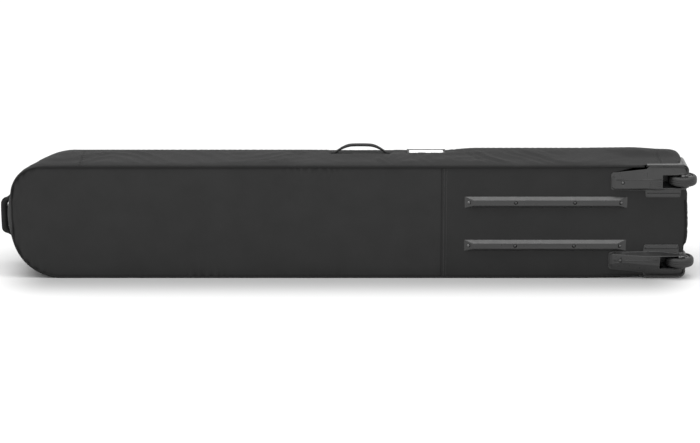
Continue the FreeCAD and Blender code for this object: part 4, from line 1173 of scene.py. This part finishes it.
def label():
    """Address-label pocket: a bound clear window over a card."""
    (x, y, _), (half_x, half_y, _) = middle_and_half("label_pocket")
    z = high("label_pocket").z
    binding = 4 * MM
    edge_x, edge_y = half_x - binding / 2, half_y - binding / 2
    steps = np.array([[-1], [0], [1]])
    runs = []
    for sign_x, sign_y in ((0, -1), (1, 0), (0, 1), (-1, 0)):
        along, across = (X_AXIS * half_x, Y_AXIS) if sign_y else (Y_AXIS * half_y, X_AXIS)
        ends = (x + sign_x * edge_x, y + sign_y * edge_y, z - 0.5 * MM) + steps * along
        runs.append(webbing("binding", ends, binding / 2, 1.6 * MM, across, TAPE))
    ends = (x, y, WIDTH + 0.5 * MM) + steps * X_AXIS * (half_x - 1 * MM)
    runs.append(webbing("backing", ends, half_y - 1 * MM, 0.9 * MM, Y_AXIS, TAPE))
    place(joined("label_binding", runs), "base", "bag_fabric", "label_pocket")
    paint(CARD, "label_card")
    u = np.linspace(-1, 1, 15)
    a, b = u[:, None], u[None]
    wide, deep = half_x - binding + 1 * MM, half_y - binding + 1 * MM
    crown = 1.3 * MM * (1 - a * a) * (1 - b * b)
    grid = points_at(x + a * wide, y + b * deep, z - 0.5 * MM + crown)
    film = thicken(sheet_mesh("label_film", grid, FILM, Z_AXIS), 0.3 * MM)
    place(film, "base", "window", "label_window")


def fittings():
    """Handles, label, straps and the finishes of the metal parts."""
    side_handle()
    end_handle("nose_loop", NOSE_X, -1, "nose_handle_patch", "nose_handle", 9.5 * MM, 4 * MM, 16 * MM)
    end_handle("tail_loop", TAIL_X, 1, "tail_handle_patch", "tail_handle", 12 * MM, 3 * MM, 3 * MM)
    label()
    straps_and_buckles()
    paint(STEEL, "axle_bolts", "axle_spacers", "bearing_inner_rings")
    paint(BLACK_ZINC, "axle_nuts", "housing_screws", "rail_screws", "screw_washers", "screw_nuts")


# ---------------- studio


def floor_painted_shadow():
    """White floor with a painted shadow: its colour is darker near the bag's foot and fades to white further
    away.
    """
    made = Shader("floor_painted_shadow", Roughness=0.9, Specular_IOR_Level=0.0)
    # the painted shadow is centred in front of the bag's base, along its length
    half_length, front_y = 0.74, -0.10
    x, y, _ = made.axes()
    past_end = made.calc("SUBTRACT", made.calc("ABSOLUTE", x), half_length)
    past_end = made.calc("MAXIMUM", past_end, 0.0)
    from_front = made.calc("ADD", y, -front_y)
    squares = [made.calc("MULTIPLY", part, part) for part in (past_end, from_front)]
    gap = made.calc("SQRT", made.calc("ADD", *squares))
    shadow_shares = []
    for start, end, kind, weight in ((0.0, 0.16, "SMOOTHSTEP", 0.6), (0.3, 2.6, "LINEAR", 0.4)):
        fade = made.add("ShaderNodeMapRange", Value=gap)
        fade.interpolation_type = kind
        fade.inputs["From Min"].default_value, fade.inputs["From Max"].default_value = start, end
        shadow_shares.append(made.calc("MULTIPLY", fade.outputs[0], weight))
    # painted shadow: the floor's colour runs from 0.43 at the bag's foot to white far from it
    made.tint(grey(0.43), grey(1.0), made.calc("ADD", *shadow_shares))
    return made.material


def studio():
    """White surroundings, the floor, two soft lights and the camera."""
    scene = bpy.context.scene
    scene.view_settings.view_transform = "Standard"
    scene.world = bpy.data.worlds.new("studio")
    scene.world.use_nodes = True
    background = scene.world.node_tree.nodes["Background"].inputs
    background["Color"].default_value, background["Strength"].default_value = (1, 1, 1, 1), 1.0
    size = 14.0
    corners = [(-size, -size, 0), (size, -size, 0), (size, size, 0), (-size, size, 0)]
    new_mesh("studio_floor", corners, [(0, 1, 2, 3)], floor_painted_shadow())
    softbox("overhead", (0, -0.5, 2.1), (0, -0.08, 0.15), 4.4, 0.8, 3.6)
    softbox("front", (0.0, -5.5, 1.6), (0, 0, 0.15), 4.0, 2.0, 0.95)
    camera()


def softbox(name, position, target, width, height, brightness):
    """Large soft light whose face has the given radiance."""
    light = bpy.data.lights.new(name, "AREA")
    light.shape, light.size, light.size_y = "RECTANGLE", width, height
    light.energy = brightness * math.pi * width * height
    lamp = linked(name, light)
    lamp.location = position
    lamp.rotation_euler = (Vector(target) - Vector(position)).to_track_quat("-Z", "Y").to_euler()
    lamp.visible_camera = False


def camera():
    """Long lens from the base's side, a little above."""
    target, elevation, distance = Vector((5 * MM, BASE_Y, 147 * MM)), math.radians(16.3), 6.0
    back = Vector((0, -math.cos(elevation), math.sin(elevation)))
    lens = bpy.data.cameras.new("camera")
    lens.lens, lens.sensor_width = 123.6, 36
    eye = linked("camera", lens)
    eye.location = target + back * distance
    eye.rotation_euler = (-back).to_track_quat("-Z", "Y").to_euler()
    bpy.context.scene.camera = eye


panels()
walls()
piping()
running_gear()
lid_pad()
zip_and_hinge()
floor_lining()
wall_lining()
paint(BOARD, "stiffener_board")
fittings()
studio()

bpy.context.view_layer.update()
